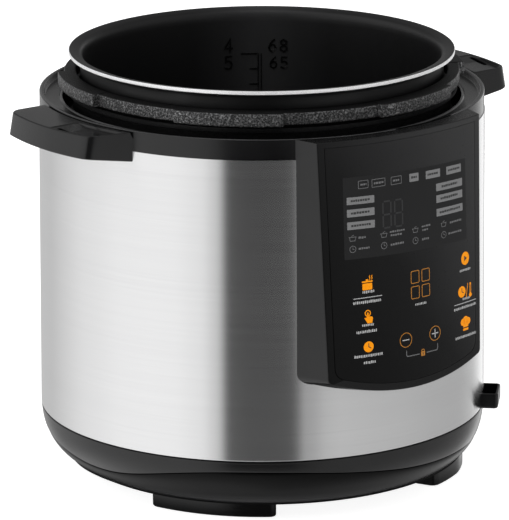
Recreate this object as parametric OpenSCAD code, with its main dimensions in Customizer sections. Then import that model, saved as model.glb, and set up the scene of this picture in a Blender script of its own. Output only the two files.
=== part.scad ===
// Electric pressure cooker without its lid: an assembly of separate pieces.
// Millimetres, +Z up. The origin is on the pot's axis, on the surface the feet stand on.
// The control panel faces -Y, the handles are on -X and +X, the power inlet faces +Y.

/* [Body] */
// Outer radius of the brushed steel shell at its top
body_r = 138.8; // [138.5:0.1:138.9]
// How much wider the steel shell is at its bottom
shell_draw = 1; // [0.6:0.1:1.1]
// Thickness of the steel shell
steel_t = 0.8; // [0.5:0.1:0.8]
// Height of the seam between the base and the steel shell
seam_z = 44.3; // [43:0.1:45]
// Height of the joint between the steel shell and the top band
band_z = 232.1; // [231:0.1:233]
// Height of the top ring's lip
lip_z = 244.6; // [244:0.1:245]

/* [Base] */
// Height of the base moulding's lower edge
edge_z = 11.3; // [11:0.1:12]
// How far the base moulding draws in towards its lower edge
draw_in = 17.8; // [16:0.2:19]
// Height of the crease round the base moulding
crease_z = 30; // [27:0.5:33]
// Half of the angle that each foot spans
foot_half = 17; // [13:0.5:19]

/* [Inner pot] */
// Outer radius of the pot's wall
pot_r = 113; // [112:0.1:113.4]
// Wall thickness of the pot
pot_t = 2; // [1.5:0.1:3]
// Radius of the pot's rim
rim_r = 120; // [118:0.5:121]
// Height of the pot's rim above the ground
pot_top = 270; // [268:0.5:274]
// Gap between the pot and the heating plate at rest
pot_gap = 0.3; // [0.2:0.1:0.5]

/* [Lock ring] */
// Radius between the lugs
ring_r = 121.5; // [120.5:0.5:122.5]
// Radius over the lugs
lug_r = 125.5; // [124:0.5:126]
// Number of lugs
lugs = 6; // [4:1:8]
// Angle that one lug spans
lug_angle = 31; // [24:1:34]

/* [Control panel] */
// Half width of the panel at its joint with the shell
panel_half = 65.8; // [65:0.1:66]
// Radius of the front face at the top
front_r_top = 198; // [197:0.5:199]
// Radius of the front face at the bottom
front_r_low = 204.5; // [204:0.5:206]
// Width of the rounded border round the fascia
border = 4.6; // [4:0.1:6]
// Thickness of the fascia plate
fascia_t = 1.6; // [1.2:0.1:1.8]

/* [Handles] */
// Half length of a handle along the side
handle_half = 47.4; // [46:0.1:48]
// Radius of a handle's top outer edge
handle_r_top = 163; // [162:0.1:164]
// Radius of a handle's lower outer edge
handle_r_low = 166.9; // [164:0.1:168]

/* [Finish] */
// Facets used for round pieces in the preview
facets = 144; // [96:12:240]

/* [Hidden] */
$fn = facets;

// Shared levels
plate_top = 110;                 // top of the heating plate
plate_low = 98;                  // underside of the heating plate
floor_z = 95;                    // upper face of the outer pot's floor
floor_t = 3;
pot_low = plate_top + pot_gap;   // underside of the inner pot
cavity_r = 115.4;                // inner radius of the outer pot
well_r = 117.4;                  // outer radius of the outer pot
flange_z = 247.5;                // top of the outer pot's flange
ring_top = 253.5;                // top of the lock ring
band_r = body_r - 0.4;           // the top band stands just inside the shell
lip_r = 124;                     // inner lip of the shelf
front_c = 50;                    // how far behind the pot's axis the panel's front cone is centred
cover_r = 96;
bowl_floor = edge_z + 3;
board_y = -132.4;                // rear face of the control board
board_t = 1.6;
board_top = 220;
socket_a = 47;                   // where the small socket sits, from the panel towards +X
inlet_z = 66;
pins = [[-7, -2], [7, -2], [0, 2]];  // live, neutral and earth, from the inlet's centre

// outer radius of the shell, and of the rear face of pieces that sit on it
function shell_r(z) = body_r + shell_draw * (band_z - z) / (band_z - seam_z);
function back_r(z) = shell_r(z) + 0.1;
function bowl_r(z) = shell_r(seam_z) - draw_in * pow((seam_z - z) / (seam_z - edge_z), 2.3) - (z < crease_z ? 0.5 : 0);
function arc(cx, cy, r, a0, a1, n) = [for (i = [0 : n]) let (a = a0 + (a1 - a0) * i / n) [cx + r * cos(a), cy + r * sin(a)]];

// A tube swept along a list of points, its ring kept upright by a reference direction
function unit(v) = v / norm(v);
function tangent(p, i) = unit(i == 0 ? p[1] - p[0] : i == len(p) - 1 ? p[i] - p[i - 1] : p[i + 1] - p[i - 1]);
module tube(p, r, n = 8, up = [0.31, 0.52, 0.79]) {
    m = len(p);
    rings = [for (i = [0 : m - 1]) let (t = tangent(p, i), a = unit(cross(t, up)), b = cross(t, a))
        for (k = [0 : n - 1]) p[i] + r * (cos(360 * k / n) * a + sin(360 * k / n) * b)];
    sides = [for (i = [0 : m - 2]) for (k = [0 : n - 1]) let (k2 = (k + 1) % n)
        [i * n + k, i * n + k2, (i + 1) * n + k2, (i + 1) * n + k]];
    polyhedron(points = rings, faces = concat([[for (k = [n - 1 : -1 : 0]) k]], sides,
        [[for (k = [0 : n - 1]) (m - 1) * n + k]]), convexity = 6);
}
// A smooth route through hand-placed points
function mix3(a, b, c, d, t) = 0.5 * ((2 * b) + (c - a) * t + (2 * a - 5 * b + 4 * c - d) * t * t
    + (3 * b - a - 3 * c + d) * t * t * t);
function smooth(q, s = 4) = concat([for (i = [0 : len(q) - 2]) for (k = [0 : s - 1])
    mix3(q[max(i - 1, 0)], q[i], q[i + 1], q[min(i + 2, len(q) - 1)], k / s)], [q[len(q) - 1]]);

module coil(r, wire, z0, z1, turns, n = 14) {
    tube([for (i = [0 : turns * n]) let (a = 360 * i / n) [r * cos(a), r * sin(a), z0 + (z1 - z0) * i / (turns * n)]],
        wire, 6, [0, 0, 1]);
}
module pan_screw(shank_r, length, head_r, head_h) {
    cylinder(h = length, r = shank_r, $fn = 24);
    translate([0, 0, -head_h]) difference() {
        cylinder(h = head_h, r1 = head_r * 0.8, r2 = head_r, $fn = 32);
        translate([0, 0, -0.1]) for (a = [0, 90]) rotate([0, 0, a])
            translate([-head_r * 0.5, -head_r * 0.12, 0]) cube([head_r, head_r * 0.24, head_h * 0.6]);
    }
}

// ---------------------------------------------------------------- base
module base_bowl() color("#1a1a1c") {
    outer = [for (i = [0 : 10]) let (z = seam_z - (seam_z - crease_z) * i / 10) [bowl_r(z), z]];
    lower = [for (i = [0 : 10]) let (z = crease_z - 0.01 - (crease_z - edge_z) * i / 10) [bowl_r(z), max(z, edge_z)]];
    inner = [for (i = [0 : 8]) let (z = bowl_floor + (seam_z - bowl_floor) * i / 8) [bowl_r(z) - 3.2, z]];
    difference() {
        union() {
            rotate_extrude() polygon(concat(outer, lower, [[88, edge_z], [88, bowl_floor]], inner,
                [[135.8, seam_z], [135.8, seam_z + 6], [shell_r(seam_z + 6) - steel_t - 0.15, seam_z + 6],
                 [shell_r(seam_z) - steel_t - 0.15, seam_z]]));
            for (a = [45 : 90 : 315]) rotate([0, 0, a]) translate([93, 0, bowl_floor - 1]) cylinder(h = 9, r = 4.5);
            for (a = [30, 150, 270]) rotate([0, 0, a]) translate([106, 0, bowl_floor - 1]) cylinder(h = 4, r = 7);
        }
        for (a = [45 : 90 : 315]) rotate([0, 0, a]) translate([93, 0, edge_z - 1]) cylinder(h = 12, r = 1.9, $fn = 24);
        for (a = [30, 150, 270]) rotate([0, 0, a]) translate([106, 0, edge_z - 1]) cylinder(h = 9, r = 1.9, $fn = 24);
    }
}
module base_cover() color("#202022") difference() {
    translate([0, 0, edge_z - 2]) cylinder(h = 2, r = cover_r);
    for (a = [45 : 90 : 315]) rotate([0, 0, a]) translate([93, 0, edge_z - 3]) cylinder(h = 4, r = 2.2, $fn = 24);
    // louvres for the cooling air
    for (s = [-1, 1]) for (i = [0 : 6]) translate([s * 62 - 2, -36 + 12 * i - 1.5, edge_z - 3])
        translate([s > 0 ? -26 : 0, 0, 0]) cube([30, 3, 4]);
    for (i = [0 : 4]) translate([-15, 52 + 7 * i, edge_z - 3]) cube([30, 3, 4]);
}
module base_screws() color("#8c8f92") for (a = [45 : 90 : 315]) rotate([0, 0, a])
    translate([93, 0, edge_z - 2]) pan_screw(1.8, 9, 4, 2.2);
module feet() color("#161617") for (a = [53, 143, 217, 307]) rotate([0, 0, a - 90]) {
    rotate([0, 0, -foot_half]) rotate_extrude(angle = 2 * foot_half)
        polygon([[101, 0], [116.4, 0], [118.4, edge_z], [99, edge_z]]);
    for (s = [-1, 1]) rotate([0, 0, s * foot_half]) translate([108.7, 0, 0]) cylinder(h = edge_z, r1 = 7.7, r2 = 9.7, $fn = 48);
}

// ---------------------------------------------------------------- shell and top
module steel_shell() color("#c9cacb") difference() {
    translate([0, 0, seam_z]) cylinder(h = band_z - seam_z, r1 = shell_r(seam_z), r2 = shell_r(band_z));
    translate([0, 0, seam_z - 1]) cylinder(h = band_z - seam_z + 2, r1 = shell_r(seam_z - 1) - steel_t,
        r2 = shell_r(band_z + 1) - steel_t);
    translate([-59, -160, 101]) cube([118, 60, 140]);
    translate([-23, 120, inlet_z - 13]) cube([46, 40, 26]);
}
module handle_frame(side) rotate([0, 0, side > 0 ? 0 : 180]) children();
module top_ring() color("#151517") difference() {
    rotate_extrude() polygon([
        [band_r, band_z], [band_r, lip_z - 0.7], [band_r - 0.6, lip_z], [band_r - 1.9, lip_z],
        [lip_r + 0.9, 240.1], [lip_r + 0.3, 240.0], [lip_r, 239.5], [lip_r, 228.5], [119, 228.5],
        [119, 226.2], [lip_r + 2.4, 226.2], [lip_r + 2.4, 238.1], [134.6, 241.3], [134.6, band_z - 10],
        [body_r - steel_t - 0.15, band_z - 10], [body_r - steel_t - 0.15, band_z]]);
    for (s = [-1, 1]) handle_frame(s) for (y = [-25, 25]) translate([120, y, 236.5]) rotate([0, 90, 0])
        cylinder(h = 30, r = 2.2, $fn = 24);
    // small notch in the shelf beside the panel
    rotate([0, 0, 29.5]) translate([-2.5, -136.8, 241]) cube([5, 4.5, 5]);
}
// Rounding of a handle's outer corners, seen from above
grip_c = 9;
grip_y = handle_half - grip_c;
grip_x = sqrt(pow(handle_r_low + 0.2 - grip_c, 2) - grip_y * grip_y);
grip_a = atan2(grip_y, grip_x);
// A handle on +X. end is +1 or -1: the end of the handle with the lid slot.
module handle(end) color("#1b1b1d") difference() {
    intersection() {
        rotate([0, 0, -25]) rotate_extrude(angle = 50) polygon([[band_r + 0.05, 243.8], [handle_r_top, 243.8],
            [handle_r_low, 230], [back_r(225.5), 225.5], [back_r(band_z), band_z + 0.05],
            [band_r + 0.05, band_z + 0.05]]);
        translate([0, 0, 200]) linear_extrude(height = 60) polygon(concat([[100, handle_half], [100, -handle_half]],
            arc(grip_x, -grip_y, grip_c, -90, -grip_a, 5), arc(0, 0, handle_r_low + 0.2, -grip_a, grip_a, 12),
            arc(grip_x, grip_y, grip_c, grip_a, 90, 5)));
    }
    // finger recess from below
    intersection() {
        rotate([0, 0, -25]) rotate_extrude(angle = 50) polygon([[150, 234], [handle_r_low - 6.4, 234],
            [handle_r_low - 3.4, 226], [handle_r_low - 3.4, 220], [150, 220]]);
        translate([100, -handle_half + 5.4, 200]) cube([100, 2 * handle_half - 10.8, 60]);
    }
    // slot in the top for the edge of the lid
    intersection() {
        rotate([0, 0, -25]) rotate_extrude(angle = 50) polygon([[144.4, 260], [144.4, 237.6], [157.6, 237.6], [157.6, 260]]);
        translate([100, end > 0 ? 12 : -40.6, 200]) cube([100, 28.6, 60]);
    }
    for (y = [-25, 25]) translate([130, y, 236.5 - 1.6]) rotate([0, 90, 0]) translate([-1.6, 0, 0])
        cylinder(h = 13.4, r = 2, $fn = 24);
}
module handle_right() handle(-1);
module handle_left() rotate([0, 0, 180]) handle(1);
module handle_screws() color("#8c8f92") for (s = [-1, 1]) handle_frame(s) for (y = [-25, 25])
    translate([131.4, y, 236.5]) rotate([0, 90, 0]) pan_screw(1.8, 11, 3.6, 2.2);
module spoon_socket() color("#161617") rotate([0, 0, socket_a]) difference() {
    translate([-12.5, -150.2, seam_z - 0.7]) cube([25, 30, 8.2]);
    translate([0, 0, seam_z - 5]) cylinder(h = 20, r1 = back_r(seam_z - 5), r2 = back_r(seam_z + 15));
    translate([-10.4, -148.4, seam_z + 1.3]) cube([20.8, 7.2, 20]);
}

// ---------------------------------------------------------------- control panel
// Solid between the shell and the front face; inset draws every face in by the same amount
module panel_body(inset = 0, back = true) intersection() {
    difference() {
        translate([0, front_c, 60]) cylinder(h = 200, r1 = front_r_low + 1.09 - inset, r2 = front_r_top - 0.63 - inset);
        if (back) rotate_extrude() polygon([[0, 50], [back_r(50), 50], [back_r(band_z), band_z + 0.05],
            [band_r + 0.1, band_z + 0.05], [band_r + 0.1, 262], [0, 262]]);
    }
    // splayed side walls
    linear_extrude(height = 270) polygon([[-panel_half - 3.4 + inset, -110], [-panel_half + 10.1 + inset, -160],
        [panel_half - 10.1 - inset, -160], [panel_half + 3.4 - inset, -110]]);
    // smiling lower edge with rounded corners
    translate([0, -139, 0]) rotate([-12, 0, 0]) rotate([90, 0, 0]) translate([0, 0, -60]) linear_extrude(height = 120)
        panel_outline(panel_half + 0.6 - inset, inset, 12 - inset * 0.5);
    // ledge level with the ring's lip
    translate([0, 0, 60]) cylinder(h = lip_z - inset - 60, r = 176);
}
module panel_outline(half, lift, corner) {
    r = 136;
    cz = 83.3 * cos(12) + r;
    r2 = r - lift;
    // centre of the rounding that touches the side line and the lower arc
    kx = half - corner;
    kz = cz - sqrt(pow(r2 - corner, 2) - kx * kx);
    a = atan2(kz - cz, kx);
    polygon(concat([[half, 280], [-half, 280]],
        arc(-kx, kz, corner, 180, 180 - a - 0, 8),
        arc(0, cz, r2, -180 - a, a, 28),
        arc(kx, kz, corner, a, 0, 8)));
}
module fascia_region(gap) intersection() {
    translate([0, -139, 0]) rotate([-12, 0, 0]) rotate([90, 0, 0]) translate([0, 0, -60]) linear_extrude(height = 120)
        panel_outline(panel_half - 5.6 - border + gap, border - gap, 7);
    translate([-80, -170, 60]) cube([160, 70, 181.2 + gap]);
}
module panel_housing() color("#242427") {
    difference() {
        panel_body();
        // seat of the fascia
        difference() {
            fascia_region(0.1);
            translate([0, front_c, 60]) cylinder(h = 200, r1 = front_r_low + 1.09 - fascia_t - 0.1,
                r2 = front_r_top - 0.63 - fascia_t - 0.1);
        }
        // room for the electronics, open towards the shell's window
        intersection() {
            panel_body(4.3, false);
            translate([-57, -170, 103]) cube([114, 80, 132]);
        }
    }
    for (x = [-47, 47]) for (z = [112, board_top - 6]) difference() {
        translate([x, 0, z]) rotate([90, 0, 0]) intersection() {
            translate([0, 0, -board_y + board_t]) cylinder(h = 12, r = 3.4, $fn = 32);
            rotate([-90, 0, 0]) translate([-x, front_c, 60 - z]) cylinder(h = 200, r1 = front_r_low - 3, r2 = front_r_top - 4.7);
        }
        translate([x, 0, z]) rotate([90, 0, 0]) cylinder(h = 139, r = 1.4, $fn = 24);
    }
}
module panel_fascia() color("#0d0d0f") difference() {
    intersection() {
        fascia_region(0);
        translate([0, front_c, 60]) cylinder(h = 200, r1 = front_r_low + 1.09, r2 = front_r_top - 0.63);
    }
    translate([0, front_c, 50]) cylinder(h = 220, r1 = front_r_low + 1.5 - fascia_t, r2 = front_r_top - 1.04 - fascia_t);
}
module control_board() color("#1f5c3a") difference() {
    translate([-52, board_y - board_t, 106]) cube([104, board_t, board_top - 106]);
    for (x = [-47, 47]) for (z = [112, board_top - 6]) translate([x, board_y + 5, z]) rotate([90, 0, 0]) cylinder(h = 10, r = 1.7, $fn = 24);
}
module board_screws() color("#8c8f92") for (x = [-47, 47]) for (z = [112, board_top - 6])
    translate([x, board_y, z]) rotate([90, 0, 0]) pan_screw(1.3, 5.4, 2.8, 1.8);
module display_module() color("#d9dadb") {
    translate([-39, board_y - board_t - 4.6, 165]) cube([78, 4.6, 48]);
    translate([-30, board_y - board_t - 5.2, 171]) cube([60, 0.6, 36]);
}
module touch_springs() color("#b9a46a") for (p = [[-42, 150], [-42, 130], [-38, 115], [0, 150], [-10, 126], [12, 126],
        [42, 156], [42, 138], [38, 121]])
    translate([p[0], board_y - board_t, p[1]]) rotate([90, 0, 0]) difference() {
        cylinder(h = 7.4, r = 4, $fn = 32);
        translate([0, 0, -1]) cylinder(h = 10, r = 3.2, $fn = 32);
    }
module buzzer() color("#121212") translate([0, board_y - board_t, 110]) rotate([90, 0, 0]) difference() {
    cylinder(h = 6, r = 4.5, $fn = 40);
    translate([0, 0, 4]) cylinder(h = 3, r = 1, $fn = 16);
}

// ---------------------------------------------------------------- power inlet
module power_inlet() color("#141415") difference() {
    union() {
        intersection() {
            translate([-26, 100, inlet_z - 16]) cube([52, 41.5, 32]);
            difference() {
                translate([0, 0, inlet_z - 20]) cylinder(h = 40, r = 143.4);
                translate([0, 0, inlet_z - 21]) cylinder(h = 42, r1 = back_r(inlet_z - 21), r2 = back_r(inlet_z + 21));
            }
        }
        translate([-22.4, 121, inlet_z - 12.4]) cube([44.8, 20, 24.8]);
    }
    translate([0, 145, inlet_z]) rotate([90, 0, 0]) linear_extrude(height = 20)
        polygon([[-12, -8.2], [12, -8.2], [12, 3.5], [7.5, 8.2], [-7.5, 8.2], [-12, 3.5]]);
    for (p = pins) translate([p[0] - 1.05, 110, inlet_z + p[1] - 2.05]) cube([2.1, 20, 4.1]);
}
module inlet_pins() color("#c9b37a") {
    for (p = pins) translate([p[0] - 1, 112, inlet_z + p[1] - 2]) cube([2, 27, 4]);
}

// ---------------------------------------------------------------- cooking side
module inner_pot() color("#1c1c1e") rotate_extrude() {
    c = 19;
    ri = pot_r - pot_t;
    polygon(concat([[0, pot_low]], arc(pot_r - c, pot_low + c, c, -90, 0, 12),
        [[pot_r, pot_top - 5.6], [pot_r + 0.6, pot_top - 3.6], [pot_r + 2.4, pot_top - 2.2], [rim_r - 0.4, pot_top - 1.9],
         [rim_r, pot_top - 1.5], [rim_r, pot_top - 0.3], [rim_r - 0.3, pot_top], [rim_r - 3, pot_top - 0.05],
         [ri + 2.6, pot_top - 1], [ri + 1, pot_top - 2.2], [ri + 0.2, pot_top - 4.6], [ri, pot_top - 7]],
        arc(pot_r - c, pot_low + c + 0.5, c - pot_t, 0, -90, 12), [[0, pot_low + pot_t + 0.5]]));
}
module lock_ring() color("#5a5b5d") difference() {
    rotate_extrude() polygon([[cavity_r, flange_z], [lug_r - 0.4, flange_z], [lug_r, flange_z + 0.4],
        [lug_r, ring_top - 0.6], [lug_r - 0.5, ring_top], [cavity_r + 0.6, ring_top], [cavity_r, ring_top - 0.6]]);
    for (i = [0 : lugs - 1]) rotate([0, 0, -76 + 360 / lugs * i + lug_angle / 2])
        rotate_extrude(angle = 360 / lugs - lug_angle)
            polygon([[ring_r, flange_z - 1], [lug_r + 3, flange_z - 1], [lug_r + 3, ring_top + 1],
                [ring_r - 1.5, ring_top + 1], [ring_r, ring_top - 0.5]]);
}
module outer_pot() color("#77797c") difference() {
    union() {
        rotate_extrude() polygon(concat([[24, floor_z - floor_t]],
            arc(well_r - 8, floor_z - floor_t + 8, 8, -90, 0, 6),
            [[well_r, flange_z - 3], [ring_r - 0.4, flange_z - 3], [ring_r, flange_z - 2.6], [ring_r, flange_z],
             [cavity_r, flange_z]],
            arc(well_r - 8, floor_z - floor_t + 8, 6, 0, -60, 5), [[well_r - 7, floor_z], [24, floor_z]]));
    }
    for (a = [90, 210, 330]) rotate([0, 0, a]) translate([74, 0, 80]) cylinder(h = 30, r = 2.2, $fn = 24);
    for (a = [-12, 12]) rotate([0, 0, a + 90]) translate([60, 0, 80]) cylinder(h = 30, r = 6, $fn = 32);
    for (a = [30, 150, 270]) rotate([0, 0, a]) translate([106, 0, 80]) cylinder(h = 30, r = 2.2, $fn = 24);
}
module trough_seal() color("#d8d6cf") rotate_extrude() polygon([[well_r + 0.05, 225.2], [120.6, 225.2], [120.6, 226.15],
    [118.95, 226.15], [118.95, 228.55], [120, 228.55], [120, 229.4], [well_r + 0.05, 230.4]]);
module heating_plate() color("#a9abad") difference() {
    union() {
        rotate_extrude() polygon([[17, plate_low], [86, plate_low], [88, plate_low + 2], [88, plate_top - 1.5],
            [86.5, plate_top], [18, plate_top], [17, plate_top - 1]]);
        for (a = [90, 210, 330]) rotate([0, 0, a]) translate([74, 0, floor_z]) cylinder(h = 4, r = 5.5, $fn = 40);
    }
    rotate([0, 0, 101]) rotate_extrude(angle = 338) translate([60, plate_low + 1.6]) circle(r = 4.3, $fn = 32);
    for (a = [90, 210, 330]) rotate([0, 0, a]) translate([74, 0, 80]) cylinder(h = 24, r = 2, $fn = 24);
    for (a = [-12, 12]) rotate([0, 0, a + 90]) translate([60, 0, 90]) cylinder(h = 14.2, r = 4.5, $fn = 32);
}
module heating_element() color("#6b5d52") {
    rotate([0, 0, 102]) rotate_extrude(angle = 336) translate([60, plate_low + 1.6]) circle(r = 4.1, $fn = 32);
    for (a = [-12, 12]) rotate([0, 0, a + 90]) translate([60, 0, 84]) cylinder(h = 19.6, r = 4.1, $fn = 32);
    for (a = [-12, 12]) rotate([0, 0, a + 90]) translate([60, 0, 74]) cylinder(h = 10, r = 1.6, $fn = 16);
}
module plate_screws() color("#8c8f92") for (a = [90, 210, 330]) rotate([0, 0, a])
    translate([74, 0, floor_z - floor_t]) pan_screw(1.8, 11, 4, 2.4);
module sensor_cap() color("#b4b6b8") {
    translate([0, 0, plate_top - 1.2]) cylinder(h = 1.2, r = 15.4);
    translate([0, 0, plate_top - 6]) difference() {
        cylinder(h = 5, r = 15.4);
        translate([0, 0, -1]) cylinder(h = 5.8, r = 14.4);
    }
    translate([0, 0, 84]) difference() {
        cylinder(h = plate_top - 84 - 1, r = 5, $fn = 48);
        translate([0, 0, -1]) cylinder(h = 20, r = 3, $fn = 32);
    }
    translate([0, 0, 82.6]) difference() {
        cylinder(h = 1.4, r = 6.6, $fn = 48);
        translate([0, 0, -1]) cylinder(h = 3, r = 3, $fn = 32);
    }
}
module sensor_guide() color("#9b9da0") difference() {
    union() {
        translate([0, 0, 87.4]) cylinder(h = 10.6, r = 8, $fn = 48);
        translate([0, 0, floor_z - floor_t - 2]) cylinder(h = 2, r = 31);
    }
    translate([0, 0, 80]) cylinder(h = 30, r = 5.06, $fn = 48);
}
module sensor_spring() color("#b0b2b4") coil(9.6, 0.6, 92.8, 108, 5);

// ---------------------------------------------------------------- pressure switch
module switch_bracket() color("#9b9da0") translate([-62, 0, 0]) difference() {
    union() {
        translate([-14, -8, 72]) cube([28, 16, 1.2]);
        for (s = [-1, 1]) translate([s * 14 - (s > 0 ? 1.2 : 0), -8, 72]) cube([1.2, 16, floor_z - floor_t - 72]);
        for (s = [-1, 1]) translate([s > 0 ? 14 : -22, -8, floor_z - floor_t - 1.2]) cube([8, 16, 1.2]);
    }
    translate([0, 0, 70]) cylinder(h = 6, r = 2.6, $fn = 24);
}
module pressure_switch() color("#2b2b2d") translate([-62, 0, 0]) {
    translate([-10, -5, 73.25]) difference() {
        cube([20, 10, 8.6]);
        translate([10, 5, 3]) cylinder(h = 10, r = 2.08, $fn = 24);
    }
    for (x = [-7, 7]) translate([x - 0.4, -9.5, 75]) cube([0.8, 4.5, 4]);
}
module switch_plunger() color("#d9d6c8") translate([-62, 0, 0]) {
    translate([0, 0, 78]) cylinder(h = 9, r = 2, $fn = 32);
    translate([0, 0, 87]) cylinder(h = 4.6, r = 4.4, $fn = 32);
}
module plunger_spring() color("#b0b2b4") translate([-62, 0, 0]) coil(3.1, 0.35, 82.3, 86.6, 4, 12);
module thermal_fuse() color("#c8c9cb") translate([0, -52, 0]) {
    translate([-8, 0, 88.4]) rotate([0, 90, 0]) cylinder(h = 16, r = 3, $fn = 32);
    translate([-3, -8, floor_z - floor_t - 0.6]) cube([6, 16, 0.6]);
    for (s = [-1, 1]) translate([-14 + (s > 0 ? 22 : 0), 0, 88.4]) rotate([0, 90, 0]) cylinder(h = 6, r = 0.8, $fn = 16);
}

// ---------------------------------------------------------------- structure
module heat_shield() color("#b7b9bb") difference() {
    translate([0, 0, 90]) cylinder(h = 130, r = 127.2);
    translate([0, 0, 89]) cylinder(h = 132, r = 126.6);
}
module support_legs() color("#a4a6a9") for (a = [30, 150, 270]) rotate([0, 0, a]) difference() {
    union() {
        translate([100, -8, bowl_floor + 3]) cube([13, 16, 2]);
        translate([98, -8, bowl_floor + 3]) cube([2, 16, floor_z - floor_t - bowl_floor - 3]);
        translate([98, -8, floor_z - floor_t - 2]) cube([11.4, 16, 2]);
    }
    translate([106, 0, bowl_floor]) cylinder(h = 8, r = 2.2, $fn = 24);
    translate([106, 0, 85]) cylinder(h = 10, r = 1.9, $fn = 24);
}
module leg_screws() color("#8c8f92") for (a = [30, 150, 270]) rotate([0, 0, a]) translate([106, 0, 0]) {
    translate([0, 0, bowl_floor + 5]) rotate([180, 0, 0]) pan_screw(1.8, 7.6, 3.8, 2.4);
    translate([0, 0, floor_z]) rotate([180, 0, 0]) pan_screw(1.8, 7.6, 3.8, 2.4);
}

// ---------------------------------------------------------------- electronics in the base
module power_board() color("#2a6b45") difference() {
    translate([-50, -10, 26]) cube([100, 68, 1.6]);
    for (x = [-44, 44]) for (y = [-4, 52]) translate([x, y, 20]) cylinder(h = 10, r = 1.7, $fn = 24);
}
module power_board_posts() color("#b8a878") for (x = [-44, 44]) for (y = [-4, 52]) translate([x, y, 0]) {
    translate([0, 0, edge_z]) cylinder(h = 26 - edge_z, r = 3, $fn = 24);
    translate([0, 0, 26 - 0.5]) cylinder(h = 4, r = 1.5, $fn = 24);
    translate([0, 0, 27.6]) cylinder(h = 2, r = 2.8, $fn = 6);
}
module power_components() {
    color("#c9a227") translate([-40, 8, 27.6]) cube([26, 30, 24]);
    color("#1d1d20") for (x = [-6, 14]) translate([x, 6, 27.6]) cube([15, 19, 15.5]);
    color("#20304c") for (x = [0, 14, 28]) translate([x, 40, 27.6]) cylinder(h = 18, r = 5.5, $fn = 40);
    color("#a33b2c") translate([34, 8, 27.6]) cube([9, 22, 14]);
}
module wiring_loom() color("#c9c4b8") {
    // inlet to power board
    for (x = [-7, 7]) tube(smooth([[x, 111.9, inlet_z - 2], [x, 108, inlet_z - 3], [x * 1.2, 94, 56], [x * 1.6, 76, 44],
        [x * 1.8, 66, 34], [x * 1.8, 61, 29.4], [x * 1.8, 55, 28.9]]), 1.2);
    // power board to the element's terminals
    for (s = [-1, 1]) tube(smooth([[s * 12.47, 58.7, 73.9], [s * 12.6, 58.6, 70], [s * 16, 59, 62], [s * 26, 56, 52],
        [s * 38, 46, 44], [s * 47, 40, 34], [s * 47, 38, 28.9]]), 1.2);
    // ribbon to the control board
    tube(smooth([[20, -8, 28.9], [22, -14, 34], [26, -40, 46], [28, -84, 56], [26, -116, 70], [22, -128.2, 90],
        [20, -130.4, 106], [20, -130.9, 112]]), 1.4);
}

base_bowl();
base_cover();
base_screws();
feet();
steel_shell();
top_ring();
handle_left();
handle_right();
handle_screws();
panel_housing();
panel_fascia();
spoon_socket();
power_inlet();
inlet_pins();
inner_pot();
lock_ring();
outer_pot();
trough_seal();
heating_plate();
heating_element();
plate_screws();
sensor_cap();
sensor_spring();
sensor_guide();
switch_bracket();
pressure_switch();
switch_plunger();
plunger_spring();
thermal_fuse();
heat_shield();
support_legs();
leg_screws();
control_board();
board_screws();
display_module();
touch_springs();
buzzer();
power_board();
power_components();
power_board_posts();
wiring_loom();
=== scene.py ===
import bpy, bmesh, math, random
from mathutils import Vector, Matrix, Quaternion


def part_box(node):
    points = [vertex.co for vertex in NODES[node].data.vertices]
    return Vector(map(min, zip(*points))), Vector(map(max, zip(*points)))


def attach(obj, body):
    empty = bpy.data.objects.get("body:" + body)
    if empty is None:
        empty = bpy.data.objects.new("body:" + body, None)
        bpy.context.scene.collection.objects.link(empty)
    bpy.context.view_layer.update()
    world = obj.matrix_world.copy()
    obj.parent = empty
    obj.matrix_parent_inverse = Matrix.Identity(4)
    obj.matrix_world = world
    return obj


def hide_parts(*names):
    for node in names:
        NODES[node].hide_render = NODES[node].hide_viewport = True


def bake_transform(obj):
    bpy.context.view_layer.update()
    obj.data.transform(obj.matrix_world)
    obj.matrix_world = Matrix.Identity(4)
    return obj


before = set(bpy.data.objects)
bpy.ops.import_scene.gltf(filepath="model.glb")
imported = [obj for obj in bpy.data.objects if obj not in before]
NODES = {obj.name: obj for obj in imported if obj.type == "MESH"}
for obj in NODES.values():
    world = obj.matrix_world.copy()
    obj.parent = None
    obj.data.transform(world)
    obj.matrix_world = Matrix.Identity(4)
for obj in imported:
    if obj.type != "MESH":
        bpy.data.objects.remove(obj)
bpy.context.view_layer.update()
random.seed(11)
MM = 0.001
scene = bpy.context.scene


# ------------------------------------------------------------------ camera
def make_camera():
    cam = bpy.data.cameras.new("camera")
    ob = bpy.data.objects.new("camera", cam)
    scene.collection.objects.link(ob)
    place = Vector((-1.7758, -2.3917, 0.9478))
    aim = Vector((-0.0039, 0.0029, 0.13285))
    turn = (aim - place).to_track_quat("-Z", "Y") @ Quaternion((0, 0, 1), math.radians(-0.157))
    ob.rotation_mode = "QUATERNION"
    ob.rotation_quaternion = turn
    ob.location = place
    cam.sensor_width = 36
    cam.lens = 340.3
    cam.clip_end = 60
    scene.camera = ob


make_camera()
scene.view_settings.view_transform = "Standard"
scene.view_settings.look = "None"


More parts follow.
